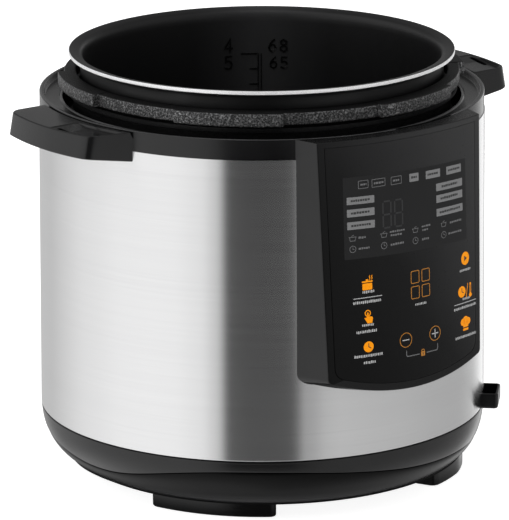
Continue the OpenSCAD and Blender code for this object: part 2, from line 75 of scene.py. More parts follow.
# ------------------------------------------------------------------ node helpers
class Mat:
    """A node material with a Principled shader."""

    def __init__(self, name):
        self.m = bpy.data.materials.new(name)
        self.m.use_nodes = True
        self.t = self.m.node_tree
        self.b = self.t.nodes["Principled BSDF"]

    def set(self, **kw):
        names = {"color": "Base Color", "metallic": "Metallic", "rough": "Roughness", "ior": "IOR", "spec": "Specular IOR Level",
                 "aniso": "Anisotropic", "turn": "Anisotropic Rotation", "coat": "Coat Weight", "coat_rough": "Coat Roughness",
                 "emit": "Emission Strength", "glow": "Emission Color", "sheen": "Sheen Weight"}
        for k, v in kw.items():
            if k in ("color", "glow"):
                v = (*v, 1) if len(v) == 3 else v
            self.b.inputs[names[k]].default_value = v
        return self

    def node(self, kind, **kw):
        n = self.t.nodes.new("ShaderNode" + kind)
        for k, v in kw.items():
            setattr(n, k, v)
        return n

    def link(self, a, b):
        self.t.links.new(a, b)

    def coord(self, scale=(1, 1, 1)):
        c = self.node("TexCoord")
        m = self.node("Mapping")
        m.inputs["Scale"].default_value = scale
        self.link(c.outputs["Object"], m.inputs["Vector"])
        return m.outputs["Vector"]

    def noise(self, vec, scale, detail=2.0, rough=0.5, distortion=0.0):
        n = self.node("TexNoise")
        n.inputs["Scale"].default_value = scale
        n.inputs["Detail"].default_value = detail
        n.inputs["Roughness"].default_value = rough
        n.inputs["Distortion"].default_value = distortion
        self.link(vec, n.inputs["Vector"])
        return n.outputs["Fac"]

    def voronoi(self, vec, scale, feature="F1"):
        n = self.node("TexVoronoi", feature=feature)
        n.inputs["Scale"].default_value = scale
        self.link(vec, n.inputs["Vector"])
        return n.outputs["Distance"]

    def remap(self, v, a, b, c, d):
        n = self.node("MapRange")
        for k, x in zip(("From Min", "From Max", "To Min", "To Max"), (a, b, c, d)):
            n.inputs[k].default_value = x
        self.link(v, n.inputs["Value"])
        return n.outputs["Result"]

    def ramp(self, v, stops):
        n = self.node("ValToRGB")
        e = n.color_ramp.elements
        while len(e) < len(stops):
            e.new(0.5)
        for s, (p, c) in zip(e, stops):
            s.position = p
            s.color = (*c, 1) if hasattr(c, "__len__") else (c, c, c, 1)
        self.link(v, n.inputs["Fac"])
        return n.outputs["Color"]

    def math(self, op, a, b=None):
        n = self.node("Math", operation=op)
        for i, x in enumerate((a, b)):
            if x is None:
                continue
            if isinstance(x, (int, float)):
                n.inputs[i].default_value = x
            else:
                self.link(x, n.inputs[i])
        return n.outputs[0]

    def rough_from(self, v, lo, hi, a=0.3, b=0.7):
        self.link(self.remap(v, a, b, lo, hi), self.b.inputs["Roughness"])
        return self

    def color_from(self, v, c0, c1, a=0.3, b=0.7):
        self.link(self.ramp(v, [(a, c0), (b, c1)]), self.b.inputs["Base Color"])
        return self

    def bump(self, v, distance, strength=1.0):
        n = self.node("Bump")
        n.inputs["Strength"].default_value = strength
        n.inputs["Distance"].default_value = distance
        self.link(v, n.inputs["Height"])
        self.link(n.outputs["Normal"], self.b.inputs["Normal"])
        return self


def moulded(name, color, rough, grain=0.00005, size=1500, spread=0.05, tone=0.25, spec=0.5):
    """Moulded plastic: a fine even grain, slight changes of tone and of gloss."""
    m = Mat(name).set(color=color, rough=rough, ior=1.5, spec=spec)
    v = m.coord()
    fine = m.noise(v, size, 3, 0.6)
    wide = m.noise(v, 28, 2, 0.5)
    m.color_from(wide, [c * (1 - tone) for c in color], [c * (1 + tone) for c in color])
    both = m.math("ADD", m.math("MULTIPLY", fine, 0.6), m.math("MULTIPLY", wide, 0.4))
    m.rough_from(both, rough - spread, rough + spread)
    m.bump(fine, grain)
    return m.m


def metal(name, color, rough, grain=0.00002, size=2500, spread=0.06, tone=0.06, aniso=0.0, stretch=(1, 1, 1)):
    m = Mat(name).set(color=color, rough=rough, metallic=1.0, aniso=aniso)
    v = m.coord(stretch)
    fine = m.noise(v, size, 3, 0.6)
    wide = m.noise(m.coord(), 60, 2, 0.5)
    m.color_from(wide, [c * (1 - tone) for c in color], [min(1, c * (1 + tone)) for c in color])
    m.rough_from(m.math("ADD", m.math("MULTIPLY", fine, 0.5), m.math("MULTIPLY", wide, 0.5)), rough - spread, rough + spread)
    m.bump(fine, grain)
    return m.m


def brushed_steel():
    """Stainless sheet brushed round the body: long fine lines, so the gloss spreads up and down."""
    m = Mat("brushed_steel").set(metallic=1.0, aniso=1.0, turn=0.25, rough=0.22)
    v = m.coord((5, 5, 900))
    w = m.coord((9, 9, 3600))
    broad = m.coord((3, 3, 60))
    a = m.noise(v, 1.0, 4, 0.65)
    b = m.noise(w, 1.0, 3, 0.6)
    c = m.noise(broad, 1.0, 2, 0.5)
    line = m.math("ADD", m.math("MULTIPLY", a, 0.5), m.math("MULTIPLY", b, 0.5))
    tone = m.math("ADD", m.math("MULTIPLY", line, 0.75), m.math("MULTIPLY", c, 0.25))
    m.color_from(tone, (0.84, 0.84, 0.845), (0.91, 0.91, 0.913), 0.3, 0.7)
    m.rough_from(line, 0.2, 0.24)
    m.bump(b, 0.000003)
    t = m.node("Tangent", direction_type="RADIAL", axis="Z")
    m.link(t.outputs["Tangent"], m.b.inputs["Tangent"])
    return m.m


def fascia_film_painted_reflection():
    """Dark smoked film with a very fine texture, its colour painted lighter toward its upper right corner: a painted
    reflection gradient.
    """
    m = Mat("fascia_film_painted_reflection").set(rough=0.3, ior=1.5, spec=0.2)
    v = m.coord()
    fine = m.noise(v, 900, 3, 0.6)
    wide = m.noise(v, 22, 2, 0.5)
    sep = m.node("SeparateXYZ")
    m.link(v, sep.inputs[0])
    # painted reflection: the colour grows lighter to the right and toward the top
    across = m.remap(sep.outputs[0], -0.062, 0.062, 0.0, 0.55)
    up = m.remap(sep.outputs[2], 0.09, 0.245, 0.0, 0.45)
    tone = m.math("ADD", m.math("ADD", across, up), m.math("MULTIPLY", m.math("SUBTRACT", wide, 0.5), 0.12))
    m.link(m.ramp(tone, [(0.1, (0.0005, 0.0005, 0.0005)), (0.25, (0.0015, 0.0015, 0.0016)), (0.45, (0.0048, 0.0048, 0.005)), (0.55, (0.011, 0.011, 0.0114)), (0.7, (0.02, 0.02, 0.0206)), (0.8, (0.027, 0.027, 0.0276)), (1.0, (0.034, 0.034, 0.0346))]), m.b.inputs["Base Color"])
    m.rough_from(fine, 0.27, 0.33)
    m.bump(fine, 0.000006)
    return m.m


def lip_painted_sheen():
    """The roll under the base's crease: painted shade, deep black under the crease, and a painted sheen that grows
    paler toward its lower lip.
    """
    m = Mat("base_roll").set(rough=0.24, ior=1.5, spec=0.14)
    v = m.coord()
    fine = m.noise(v, 1700, 3, 0.6)
    wide = m.noise(v, 30, 2, 0.5)
    sep = m.node("SeparateXYZ")
    m.link(v, sep.inputs[0])
    # painted shade at the top of the roll, painted sheen growing paler toward the lower lip
    low = m.remap(sep.outputs[2], 0.0385, 0.0125, 0.0, 1.0)
    tone = m.math("ADD", low, m.math("MULTIPLY", m.math("SUBTRACT", wide, 0.5), 0.05))
    m.link(m.ramp(tone, [(0.0, (0.0004, 0.0004, 0.0004)), (0.25, (0.0009, 0.0009, 0.0009)), (0.5, (0.0022, 0.0022, 0.0023)), (0.75, (0.0062, 0.0062, 0.0064)),
                         (0.9, (0.02, 0.02, 0.0205)), (1.0, (0.046, 0.046, 0.047))]), m.b.inputs["Base Color"])
    m.rough_from(fine, 0.21, 0.27)
    m.bump(fine, 0.00001)
    return m.m


def bare_rim():
    """Machined bare edge of the pot: pale satin aluminium."""
    m = Mat("bare_rim").set(metallic=0.3, rough=0.3, ior=1.5)
    v = m.coord()
    fine = m.noise(v, 2400, 2, 0.5)
    m.color_from(fine, (0.94, 0.94, 0.95), (0.98, 0.98, 0.98))
    m.rough_from(fine, 0.25, 0.38)
    m.bump(fine, 0.00001)
    return m.m


def cast_alloy():
    """Sand-blasted casting: a coarse sparkling grain."""
    m = Mat("cast_alloy").set(metallic=0.8, ior=1.5)
    v = m.coord()
    grit = m.noise(v, 1100, 4, 0.75)
    cell = m.voronoi(v, 900)
    wide = m.noise(v, 120, 2, 0.5)
    mixed = m.math("ADD", m.math("MULTIPLY", grit, 0.7), m.math("MULTIPLY", cell, 0.3))
    m.link(m.ramp(mixed, [(0.3, (0.015, 0.015, 0.0155)), (0.46, (0.055, 0.055, 0.056)), (0.6, (0.22, 0.22, 0.222)), (0.72, (0.6, 0.6, 0.6))]),
           m.b.inputs["Base Color"])
    m.rough_from(wide, 0.36, 0.52)
    m.bump(mixed, 0.0004)
    return m.m


def coated(name, color, rough, sheen_centre=None):
    """Non-stick coating on drawn aluminium: matt black with a very fine orange peel. The last argument, when given, is
    the middle of a paler patch: a painted highlight.
    """
    m = Mat(name).set(rough=rough, ior=1.45)
    v = m.coord()
    fine = m.noise(v, 1800, 3, 0.6)
    peel = m.noise(v, 420, 2, 0.5)
    # painted highlight: a paler patch, lightest at the given centre
    if sheen_centre:
        far = m.node("VectorMath", operation="DISTANCE")
        flat = m.node("VectorMath", operation="MULTIPLY")
        flat.inputs[1].default_value = (1, 1, 0.3)
        m.link(v, flat.inputs[0])
        m.link(flat.outputs[0], far.inputs[0])
        far.inputs[1].default_value = sheen_centre
        near = m.remap(far.outputs["Value"], 0.045, 0.008, 0.0, 0.85)
        tone = m.math("ADD", near, m.math("MULTIPLY", m.math("SUBTRACT", peel, 0.5), 0.15))
        m.link(m.ramp(tone, [(0.0, [c * 0.8 for c in color]), (0.12, [c * 1.15 for c in color]), (0.5, (0.017, 0.017, 0.0176)), (0.85, (0.031, 0.031, 0.032))]),
               m.b.inputs["Base Color"])
    else:
        m.color_from(peel, [c * 0.8 for c in color], [c * 1.25 for c in color])
    m.rough_from(fine, rough - 0.05, rough + 0.06)
    m.bump(m.math("ADD", m.math("MULTIPLY", fine, 0.4), m.math("MULTIPLY", peel, 0.6)), 0.00005)
    return m.m


def printed(name, color, glow=0.0, rough=0.35, spec=0.5):
    m = Mat(name).set(rough=rough, ior=1.5, spec=spec)
    v = m.coord()
    fine = m.noise(v, 1600, 2, 0.5)
    m.color_from(fine, [c * 0.94 for c in color], [min(1, c * 1.03) for c in color])
    m.rough_from(fine, rough - 0.04, rough + 0.04)
    if glow:
        m.set(glow=color, emit=glow)
    return m.m


M = {
    "steel": brushed_steel(),
    "black": moulded("black_gloss_plastic", (0.006, 0.006, 0.0063), 0.2, 0.00001, 1800),
    # edge: a lighter black for thin rims, a painted highlight line
    "edge": moulded("painted_highlight_edge", (0.075, 0.075, 0.077), 0.16, 0.000005, 1800),
    "cove": lip_painted_sheen(),
    "mark": coated("mark_coating", (0.003, 0.003, 0.0031), 0.3),
    "base": moulded("base_plastic", (0.006, 0.006, 0.0063), 0.2, 0.00001, 1700, 0.03),
    "panel": moulded("panel_plastic", (0.009, 0.009, 0.0093), 0.32, 0.00003, 1800, 0.04, 0.15, spec=0.4),
    # a darker copy of the panel plastic: painted shade on the panel's top face, and a painted lighter band along the
    # border's lower edge
    "ledge": moulded("ledge_plastic", (0.004, 0.004, 0.0042), 0.26, 0.00003, 1800, 0.04, 0.15, spec=0.3),
    "fascia": fascia_film_painted_reflection(),
    "window": moulded("display_window", (0.0075, 0.0075, 0.008), 0.3, 0.000004, 900, 0.02, 0.08, spec=0.32),
    "rubber": moulded("foot_plastic", (0.004, 0.004, 0.0042), 0.2, 0.00002, 1500, 0.04),
    "socket": moulded("socket_plastic", (0.006, 0.006, 0.0063), 0.3, 0.00004, 1500),
    "cover": moulded("cover_plastic", (0.018, 0.018, 0.019), 0.45, 0.00006, 1400),
    # a duller, darker black for grooves, recesses, undersides and the trough: painted shade
    "painted_shade": moulded("painted_shade_black", (0.003, 0.003, 0.0032), 0.6, 0.00003, 1500, spec=0.06),
    # a darker, smoother copy for the lock ring's upward faces: painted shade on its top
    "cast_top": moulded("cast_ring_top", (0.008, 0.008, 0.0082), 0.5, 0.00025, 1500, 0.06, 0.3, spec=0.25),
    # the far wall round the level marks gets a painted highlight patch
    "nonstick": coated("nonstick_coating", (0.007, 0.007, 0.0075), 0.42, (0.066, 0.089, 0.0705)),
    "rim": bare_rim(),
    "cast": cast_alloy(),
    "pot_metal": coated("dark_pot_metal", (0.011, 0.011, 0.0115), 0.3),
    "alu": metal("turned_aluminium", (0.78, 0.79, 0.8), 0.34, 0.00001, 1200, 0.06, 0.05),
    "sheet": metal("zinc_sheet", (0.62, 0.64, 0.66), 0.4, 0.00002, 700, 0.1, 0.1),
    "screw": metal("screw_steel", (0.58, 0.58, 0.57), 0.32, 0.00001, 2500, 0.06, 0.08),
    "spring": metal("spring_steel", (0.5, 0.5, 0.52), 0.28, 0.00001, 2500, 0.05, 0.08),
    "brass": metal("contact_brass", (0.78, 0.6, 0.32), 0.3, 0.00001, 1800, 0.06, 0.08),
    "element": metal("oxidised_element", (0.2, 0.16, 0.13), 0.5, 0.00005, 900, 0.1, 0.25),
    "silicone": moulded("silicone", (0.012, 0.012, 0.012), 0.5, 0.00003, 900, 0.05, 0.06),
    "board": moulded("board_green", (0.02, 0.13, 0.06), 0.3, 0.00002, 1300, 0.05, 0.15),
    "parts": moulded("dark_parts", (0.03, 0.03, 0.035), 0.35, 0.00004, 1300),
    "lens": moulded("display_lens", (0.3, 0.31, 0.32), 0.12, 0.000003, 800, 0.02, 0.05),
    "wire": moulded("wire_sleeve", (0.5, 0.48, 0.42), 0.45, 0.00004, 1500, 0.06, 0.1),
    "white": printed("print_white", (0.4, 0.4, 0.4), 0.07, spec=0.3),
    "grey": printed("print_grey", (0.17, 0.17, 0.172), 0.03),
    "faint": printed("print_faint", (0.019, 0.019, 0.02)),
    "line": printed("print_line", (0.12, 0.12, 0.122), 0.02),
    "dark": printed("print_dark", (0.02, 0.02, 0.02)),
    "orange": printed("print_orange", (0.76, 0.25, 0.0), 0.27, spec=0.1),
    "ring": printed("print_ring", (0.4, 0.16, 0.02), 0.09, spec=0.2),
}


# ------------------------------------------------------------------ mesh helpers
def polar(r, az, z):
    """A point in mm at azimuth az, which is 0 at the panel and grows towards +X."""
    a = math.radians(az)
    return (r * math.sin(a), -r * math.cos(a), z)


def piece(name, verts, faces, mats, body="cooker", index=None, sharp=35, weighted=True, merge=True, edge_split=False):
    me = bpy.data.meshes.new(name)
    me.from_pydata([(x * MM, y * MM, z * MM) for x, y, z in verts], [], faces)
    for m in mats if isinstance(mats, (list, tuple)) else [mats]:
        me.materials.append(M[m])
    if index:
        me.polygons.foreach_set("material_index", index)
    bm = bmesh.new()
    bm.from_mesh(me)
    if merge:
        bmesh.ops.remove_doubles(bm, verts=bm.verts, dist=2e-6)
    bmesh.ops.recalc_face_normals(bm, faces=bm.faces)
    bm.to_mesh(me)
    bm.free()
    me.polygons.foreach_set("use_smooth", [True] * len(me.polygons))
    me.set_sharp_from_angle(angle=math.radians(sharp))
    ob = bpy.data.objects.new(name, me)
    scene.collection.objects.link(ob)
    if weighted:
        w = ob.modifiers.new("weighted", "WEIGHTED_NORMAL")
        w.keep_sharp = True
        w.weight = 60
    if body:
        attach(ob, body)
    return ob


def loft(rings, wrap_u=True, wrap_v=False, cap0=False, cap1=False):
    """Quads between rings of equal length. wrap_u closes each ring, wrap_v joins the last ring to the first."""
    n, k = len(rings[0]), len(rings)
    verts = [p for r in rings for p in r]
    faces = []
    for i in range(k if wrap_v else k - 1):
        j = (i + 1) % k
        for a in range(n if wrap_u else n - 1):
            b = (a + 1) % n
            faces.append((i * n + a, i * n + b, j * n + b, j * n + a))
    if cap0:
        faces.append(tuple(range(n - 1, -1, -1)))
    if cap1:
        faces.append(tuple((k - 1) * n + a for a in range(n)))
    return verts, faces


def round_corners(pts, radii, n=4, closed=True):
    """A profile with its corners rounded; radii in the same order as the points."""
    out = []
    m = len(pts)
    for i, (p, r) in enumerate(zip(pts, radii)):
        if r <= 0 or (not closed and i in (0, m - 1)):
            out.append(p)
            continue
        a, b = Vector(pts[i - 1]), Vector(pts[(i + 1) % m])
        p = Vector(p)
        u, v = (a - p), (b - p)
        lu, lv = u.length, v.length
        u.normalize()
        v.normalize()
        ang = math.acos(max(-1, min(1, u.dot(v))))
        if ang > math.pi - 0.02:
            out.append(tuple(p))
            continue
        t = min(r / math.tan(ang / 2), 0.48 * lu, 0.48 * lv)
        rr = t * math.tan(ang / 2)
        c = p + (u + v).normalized() * (rr / math.sin(ang / 2))
        s, e = p + u * t, p + v * t
        a0 = math.atan2(s.y - c.y, s.x - c.x)
        a1 = math.atan2(e.y - c.y, e.x - c.x)
        d = (a1 - a0 + math.pi) % (2 * math.pi) - math.pi
        for k in range(n + 1):
            q = a0 + d * k / n
            out.append((c.x + rr * math.cos(q), c.y + rr * math.sin(q)))
    return out


def turned(name, profile, mats, body="cooker", seg=360, closed=True, pick=None, azs=None, **kw):
    """A piece turned about Z. profile is a list of (r, z), or a function of azimuth that gives one."""
    azs = azs or [360 * i / seg for i in range(seg)]
    rings = []
    for a in azs:
        pr = profile(a) if callable(profile) else profile
        rings.append([polar(r, a, z) for r, z in pr])
    verts, faces = loft(rings, wrap_u=closed, wrap_v=True)
    index = None
    if pick:
        index = []
        for f in faces:
            c = [sum(verts[i][k] for i in f) / 4 for k in range(3)]
            index.append(pick(math.hypot(c[0], c[1]), c[2]))
    return piece(name, verts, faces, mats, body, index, **kw)


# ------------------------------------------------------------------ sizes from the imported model
def half_x(node):
    lo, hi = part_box(node)
    return max(-lo.x, hi.x) / MM


def z_of(node):
    lo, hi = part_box(node)
    return lo.z / MM, hi.z / MM


SEAM, BAND = z_of("steel_shell")
R_LOW = half_x("steel_shell")
R_TOP = R_LOW - 1.0
EDGE, _ = z_of("base_bowl")
R_BAND = half_x("top_ring")
LIP = z_of("top_ring")[1]
POT0, POT1 = z_of("inner_pot")
RIM = half_x("inner_pot")
RING0, RING1 = z_of("lock_ring")


def shell_r(z):
    return R_LOW + (R_TOP - R_LOW) * (z - SEAM) / (BAND - SEAM)


# ------------------------------------------------------------------ steel shell
def make_shell():
    rows = []
    n = 400
    top = BAND
    i_lo, i_hi = z_of("power_inlet")
    w0, w1 = i_lo + 3.0, i_hi - 3.0
    zs = [SEAM + 0.35, SEAM + 0.9, SEAM + 2.5] + [SEAM + 2.5 + (top - SEAM - 5) * i / 20 for i in range(1, 20)] + [top - 2.5, top - 0.4, top]
    zs = sorted([z for z in zs if abs(z - w0) > 1.5 and abs(z - w1) > 1.5] + [w0, w1])
    prof = [(shell_r(SEAM) - 0.55, SEAM), (shell_r(SEAM) - 0.12, SEAM + 0.1)]
    prof += [(shell_r(z), z) for z in zs]
    t = 0.78
    prof += [(shell_r(z) - t, z) for z in reversed(zs)] + [(shell_r(SEAM) - t, SEAM)]
    ob = turned("steel_wrap", prof, "steel", seg=n, sharp=50)
    # the window behind the power inlet, its two skins joined round the edge
    bm = bmesh.new()
    bm.from_mesh(ob.data)
    gone = []
    for f in bm.faces:
        c = f.calc_center_median() / MM
        if c.y > 0 and abs(c.x) < 23.9 and w0 < c.z < w1:
            gone.append(f)
    bmesh.ops.delete(bm, geom=gone, context="FACES")
    bmesh.ops.bridge_loops(bm, edges=[e for e in bm.edges if e.is_boundary])
    bmesh.ops.recalc_face_normals(bm, faces=bm.faces)
    bm.to_mesh(ob.data)
    bm.free()
    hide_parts("steel_shell")


# ------------------------------------------------------------------ base
def bowl_r(z):
    return R_LOW - 17.8 * pow(max(0.0, (SEAM - z)) / (SEAM - EDGE), 2.3)


# height of the crease round the base, by azimuth; it dips beside each foot and runs into the lip at the sides
CREASE = [(-180, 30.5), (-160, 33.5), (-135, 37.0), (-112, 30.0), (-90, 24.5), (-84, 24.6), (-78, 25.6), (-72, 28.0), (-66, 31.0), (-60, 33.6), (-54, 35.7),
          (-46, 37.3), (-38, 37.6), (-28, 37.0), (-16, 34.4), (-6, 31.9), (4, 29.2), (16, 27.3), (30, 26.4), (50, 26.0), (90, 24.4), (112, 30.0), (135, 37.0),
          (160, 33.5), (180, 30.5)]


def crease_z(az):
    return sum(crease_at(az + d) * k for d, k in ((-5, 0.12), (-2.5, 0.23), (0, 0.3), (2.5, 0.23), (5, 0.12)))


def crease_at(az):
    a = (az + 180) % 360 - 180
    for (a0, z0), (a1, z1) in zip(CREASE, CREASE[1:]):
        if a0 <= a <= a1:
            t = (a - a0) / (a1 - a0)
            return z0 + (z1 - z0) * t
    return CREASE[0][1]


# radius of the base's lower edge, by azimuth
LOWER = [(-180, 123.6), (-140, 124.0), (-105, 122.4), (-86, 120.6), (-72, 121.4), (-29, 123.0), (0, 123.8), (15, 124.5), (25, 125.1), (37, 126.0),
         (50, 127.2), (66, 127.5), (92, 126.0), (130, 122.6), (180, 123.6)]


def lower_r(az):
    a = (az + 180) % 360 - 180
    for (a0, r0), (a1, r1) in zip(LOWER, LOWER[1:]):
        if a0 <= a <= a1:
            t = (a - a0) / (a1 - a0)
            return r0 + (r1 - r0) * (t * t * (3 - 2 * t) * 0.4 + t * 0.6)
    return LOWER[0][1]


def make_base():
    def prof(az):
        zc = crease_z(az)
        re = lower_r(az)
        top = SEAM - 0.15
        rs = shell_r(SEAM)
        pts = [(rs - 4.0, top - 0.5), (rs - 1.3, top - 0.5), (rs - 0.62, top - 0.55), (rs - 0.3, SEAM - 0.85), (rs - 0.1, SEAM - 1.3)]
        fall = 17.8 - (re - 121.5) * 0.85

        def bowl(z):
            u = max(0.0, SEAM - z) / (SEAM - EDGE)
            return R_LOW - 0.05 - fall * (0.86 * u ** 2.6 + 0.14 * u)
        n1 = 12
        for i in range(1, n1 + 1):
            z = SEAM - 1.3 - (SEAM - 1.3 - zc) * i / n1
            pts.append((bowl(z), z))
        rc = bowl(zc)
        # the upper band ends in a small rounded edge over a narrow groove
        pts.append((rc - 0.16, zc - 0.22))
        pts.append((rc - 0.5, zc - 0.36))
        pts.append((rc - 1.75, zc - 0.5))
        pts.append((rc - 1.9, zc - 0.75))
        zl = EDGE + 1.5
        r0, z0 = rc - 1.0, zc - 1.15
        for i in range(0, 21):
            u = i / 20
            pts.append((r0 - (r0 - re + 0.35) * u ** 1.6, z0 - (z0 - zl) * u))
        pts += [(re - 0.08, zl - 0.1), (re + 0.12, zl - 0.28), (re + 0.16, EDGE + 0.45), (re - 0.1, EDGE + 0.12), (re - 0.7, EDGE)]
        pts += [(100, EDGE), (88.1, EDGE), (88.1, EDGE + 3), (re - 6, EDGE + 3.4)]
        for i in range(1, 6):
            z = EDGE + 3.4 + (SEAM - 0.65 - EDGE - 3.4) * i / 6
            pts.append((min(bowl_r(z), rs) - 6.4, z))
        return pts
    rings = [[polar(r, 0.75 * i, z) for r, z in prof(0.75 * i)] for i in range(480)]
    n = len(rings[0])
    verts, faces = loft(rings, wrap_u=True, wrap_v=True)
    # the groove under the crease and the underside of the lower lip take the dull shade black, painted shade; the roll
    # between takes the painted sheen
    zone = {17: 2, 18: 2, 19: 2, 20: 2}
    zone.update({a: 1 for a in range(21, 43)})
    zone.update({43: 2, 44: 2, 45: 2})
    ob = piece("base_moulding", verts, faces, ["base", "cove", "painted_shade"], index=[zone.get(f[0] % n, 0) for f in faces], sharp=30)
    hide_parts("base_bowl")


def arc_foot(az, half, r0, r1, top0, top1, z1, c, shape=None):
    """One foot: a curved pad with rounded ends, lofted from its outlines."""
    def outline(ra, rb, h):
        cc = min(c, (rb - ra) / 2 - 0.2)
        pts = []
        n = 24
        do, di = math.degrees(cc / (rb - cc)), math.degrees(cc / (ra + cc))
        for i in range(n + 1):
            pts.append((rb, az - h + do + (2 * h - 2 * do) * i / n))
        for k in range(1, 6):
            q = math.pi / 2 * k / 6
            pts.append((rb - cc + cc * math.cos(q), az + h - do * (1 - math.sin(q))))
        for k in range(6):
            q = math.pi / 2 * k / 6
            pts.append((ra + cc - cc * math.sin(q), az + h - di * (1 - math.cos(q))))
        for i in range(n + 1):
            pts.append((ra, az + h - di - (2 * h - 2 * di) * i / n))
        for k in range(1, 6):
            q = math.pi / 2 * k / 6
            pts.append((ra + cc - cc * math.cos(q), az - h + di * (1 - math.sin(q))))
        for k in range(6):
            q = math.pi / 2 * k / 6
            pts.append((rb - cc + cc * math.sin(q), az - h + do * (1 - math.cos(q))))
        return pts
    rings = []
    for z, inset in ((0.0, 1.5), (0.1, 1.0), (0.4, 0.5), (0.9, 0.16), (1.4, 0.0), (z1 * 0.55, 0.0), (z1, 0.0)):
        t = z / z1
        ra, rb = r0 + (top0 - r0) * t + inset, r1 + (top1 - r1) * t - inset
        o = outline(ra, rb, half - math.degrees(inset / r1))
        if shape:
            o = [(ra + (r - ra) * (shape(a) - inset - ra) / (rb - ra), a) for r, a in o]
        rings.append([polar(r, a, z) for r, a in o])
    return loft(rings, cap0=True, cap1=True)


def make_feet():
    z1 = EDGE + 0.2
    verts, faces = [], []
    def flush(a):
        # this foot's outer face runs out to the base's lower edge
        return min(lower_r(a) - 0.5, 120.6 + (a - 28) * 0.38)
    for az, half, r0, r1, t0, t1, c, shape in ((-53.2, 20.9, 101.0, 113.7, 100, 114.0, 3.4, None), (53.4, 26.2, 104, 122, 103, 122, 4.0, flush),
                                               (143, 20.6, 101.5, 116.2, 100, 117.2, 3.6, None), (-143, 20.6, 101.5, 116.2, 100, 117.2, 3.6, None)):
        v, f = arc_foot(az, half, r0, r1, t0, t1, z1, c, shape)
        k = len(verts)
        verts += v
        faces += [tuple(i + k for i in g) for g in f]
    ob = piece("feet_set", verts, faces, "rubber", sharp=40)
    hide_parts("feet")


# ------------------------------------------------------------------ top ring
def make_top_ring():
    b = R_BAND
    base = [(b, BAND - 0.05), (b, LIP), (b - 1.35, LIP), (b - 1.42, LIP - 0.01), (b - 2.7, LIP - 0.05), (b - 3.6, 241.0), (134.0, 240.9), (130.4, 240.7),
            (130.25, 240.69), (126.3, 240.5), (125.3, 241.25), (124, 241.1), (124, 228.5), (119, 228.5),
            (119, 226.2), (126.4, 226.2), (126.4, 238.1), (128.0, 236.0), (136.0, 236.0), (136.0, BAND - 10), (b - 0.6, BAND - 10), (b - 0.6, BAND - 0.05)]
    rad = [0.25, 0.6, 0, 0, 0.6, 0.5, 0, 0, 0, 0.8, 0.6, 0.6, 0.4, 0.3, 0.2, 0.3, 0.8, 0.6, 0.6, 0.2, 0.2, 0.1]
    plain = round_corners(base, rad, 5)

    def prof(az):
        out = plain
        # recess in the shelf beside the panel
        d = abs((az - 29.8 + 180) % 360 - 180)
        if d < 2.9:
            k = min(1.0, (2.9 - d) / 0.16)
            out = [(r, z - 3.0 * k if 130.3 < r < 135.4 and z > 240.6 else z) for r, z in out]
        # groove between the rim and the top of the panel
        d = abs(az - 0.9)
        if d < 18.9:
            k = min(1.0, (18.9 - d) / 0.16)
            out = [(r, z - 1.9 * k if r > b - 1.39 and z > 242.0 else z) for r, z in out]
        return out
    azs = set(round(360 * i / 400, 4) for i in range(400))
    for c, h in ((29.8, 2.9), (0.9, 18.9)):
        for sg in (-1, 1):
            azs |= {c + sg * (h + 0.03), c + sg * (h - 0.16), c + sg * (h - 0.2)}
    azs = sorted((a + 360) % 360 for a in azs)

    def pick(r, z):
        # the inner lip bead and the outer rim's top edge: the lighter edge black, a painted highlight line
        if 124.1 < r < 126.2 and z > 240.75:
            return 2
        if b - 1.3 < r < b - 0.25 and z > LIP - 0.2:
            return 2
        # the shelf recess's floor and the trough below the lip: the dull shade black, painted shade
        if 130.2 < r < 135.5 and z < 240.3:
            return 1
        return 1 if r < 126.6 and z < 240.3 else 0
    ob = turned("top_band", prof, ["black", "painted_shade", "edge"], azs=azs, sharp=50, pick=pick)
    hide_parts("top_ring")


# ------------------------------------------------------------------ pot
def make_inner_pot():
    t = POT1
    b = POT0
    r = 113.0
    prof = [(0.0, b), (40, b), (80, b)]
    c = 19
    for i in range(0, 13):
        q = math.radians(-90 + 90 * i / 12)
        prof.append((r - c + c * math.cos(q), b + c + c * math.sin(q)))
    prof += [(r, b + 60), (r, b + 120), (r, t - 9)]
    outer = [(r, t - 6.5), (r + 0.35, t - 4.9), (r + 1.2, t - 3.4), (r + 2.6, t - 2.55), (r + 4.4, t - 2.3), (RIM - 1.0, t - 2.34)]
    prof += outer
    prof += [(RIM - 0.5, t - 2.32), (RIM - 0.12, t - 2.12), (RIM, t - 1.75), (RIM, t - 0.62), (RIM - 0.12, t - 0.25), (RIM - 0.42, t - 0.05),
             (RIM - 0.8, t - 0.0), (RIM - 2.2, t - 0.12), (RIM - 5.0, t - 0.75), (RIM - 6.6, t - 1.35), (RIM - 7.7, t - 2.3),
             (RIM - 8.4, t - 3.7), (RIM - 8.8, t - 5.6), (111.0, t - 8.5)]
    prof += [(111.0, t - 20), (111.0, t - 70), (111.0, b + 60)]
    for i in range(0, 13):
        q = math.radians(-90 * i / 12)
        prof.append((r - c + (c - 2) * math.cos(q), b + c + 0.5 + (c - 2) * math.sin(q)))
    prof += [(80, b + 2.5), (40, b + 2.5), (0.0, b + 2.5)]

    def pick(rr, z):
        return 1 if rr > RIM - 0.4 and t - 2.32 < z < t - 0.0 else 0
    n = 400
    azs = [360 * i / n for i in range(n)]
    rings = [[polar(r_, a, z_) for r_, z_ in prof] for a in azs]
    verts, faces = loft(rings, wrap_u=False, wrap_v=True)
    index = []
    for f in faces:
        cx = [sum(verts[i][k] for i in f) / 4 for k in range(3)]
        index.append(pick(math.hypot(cx[0], cx[1]), cx[2]))
    ob = piece("cooking_pot", verts, faces, ["nonstick", "rim"], "pot", index, sharp=50)
    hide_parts("inner_pot")


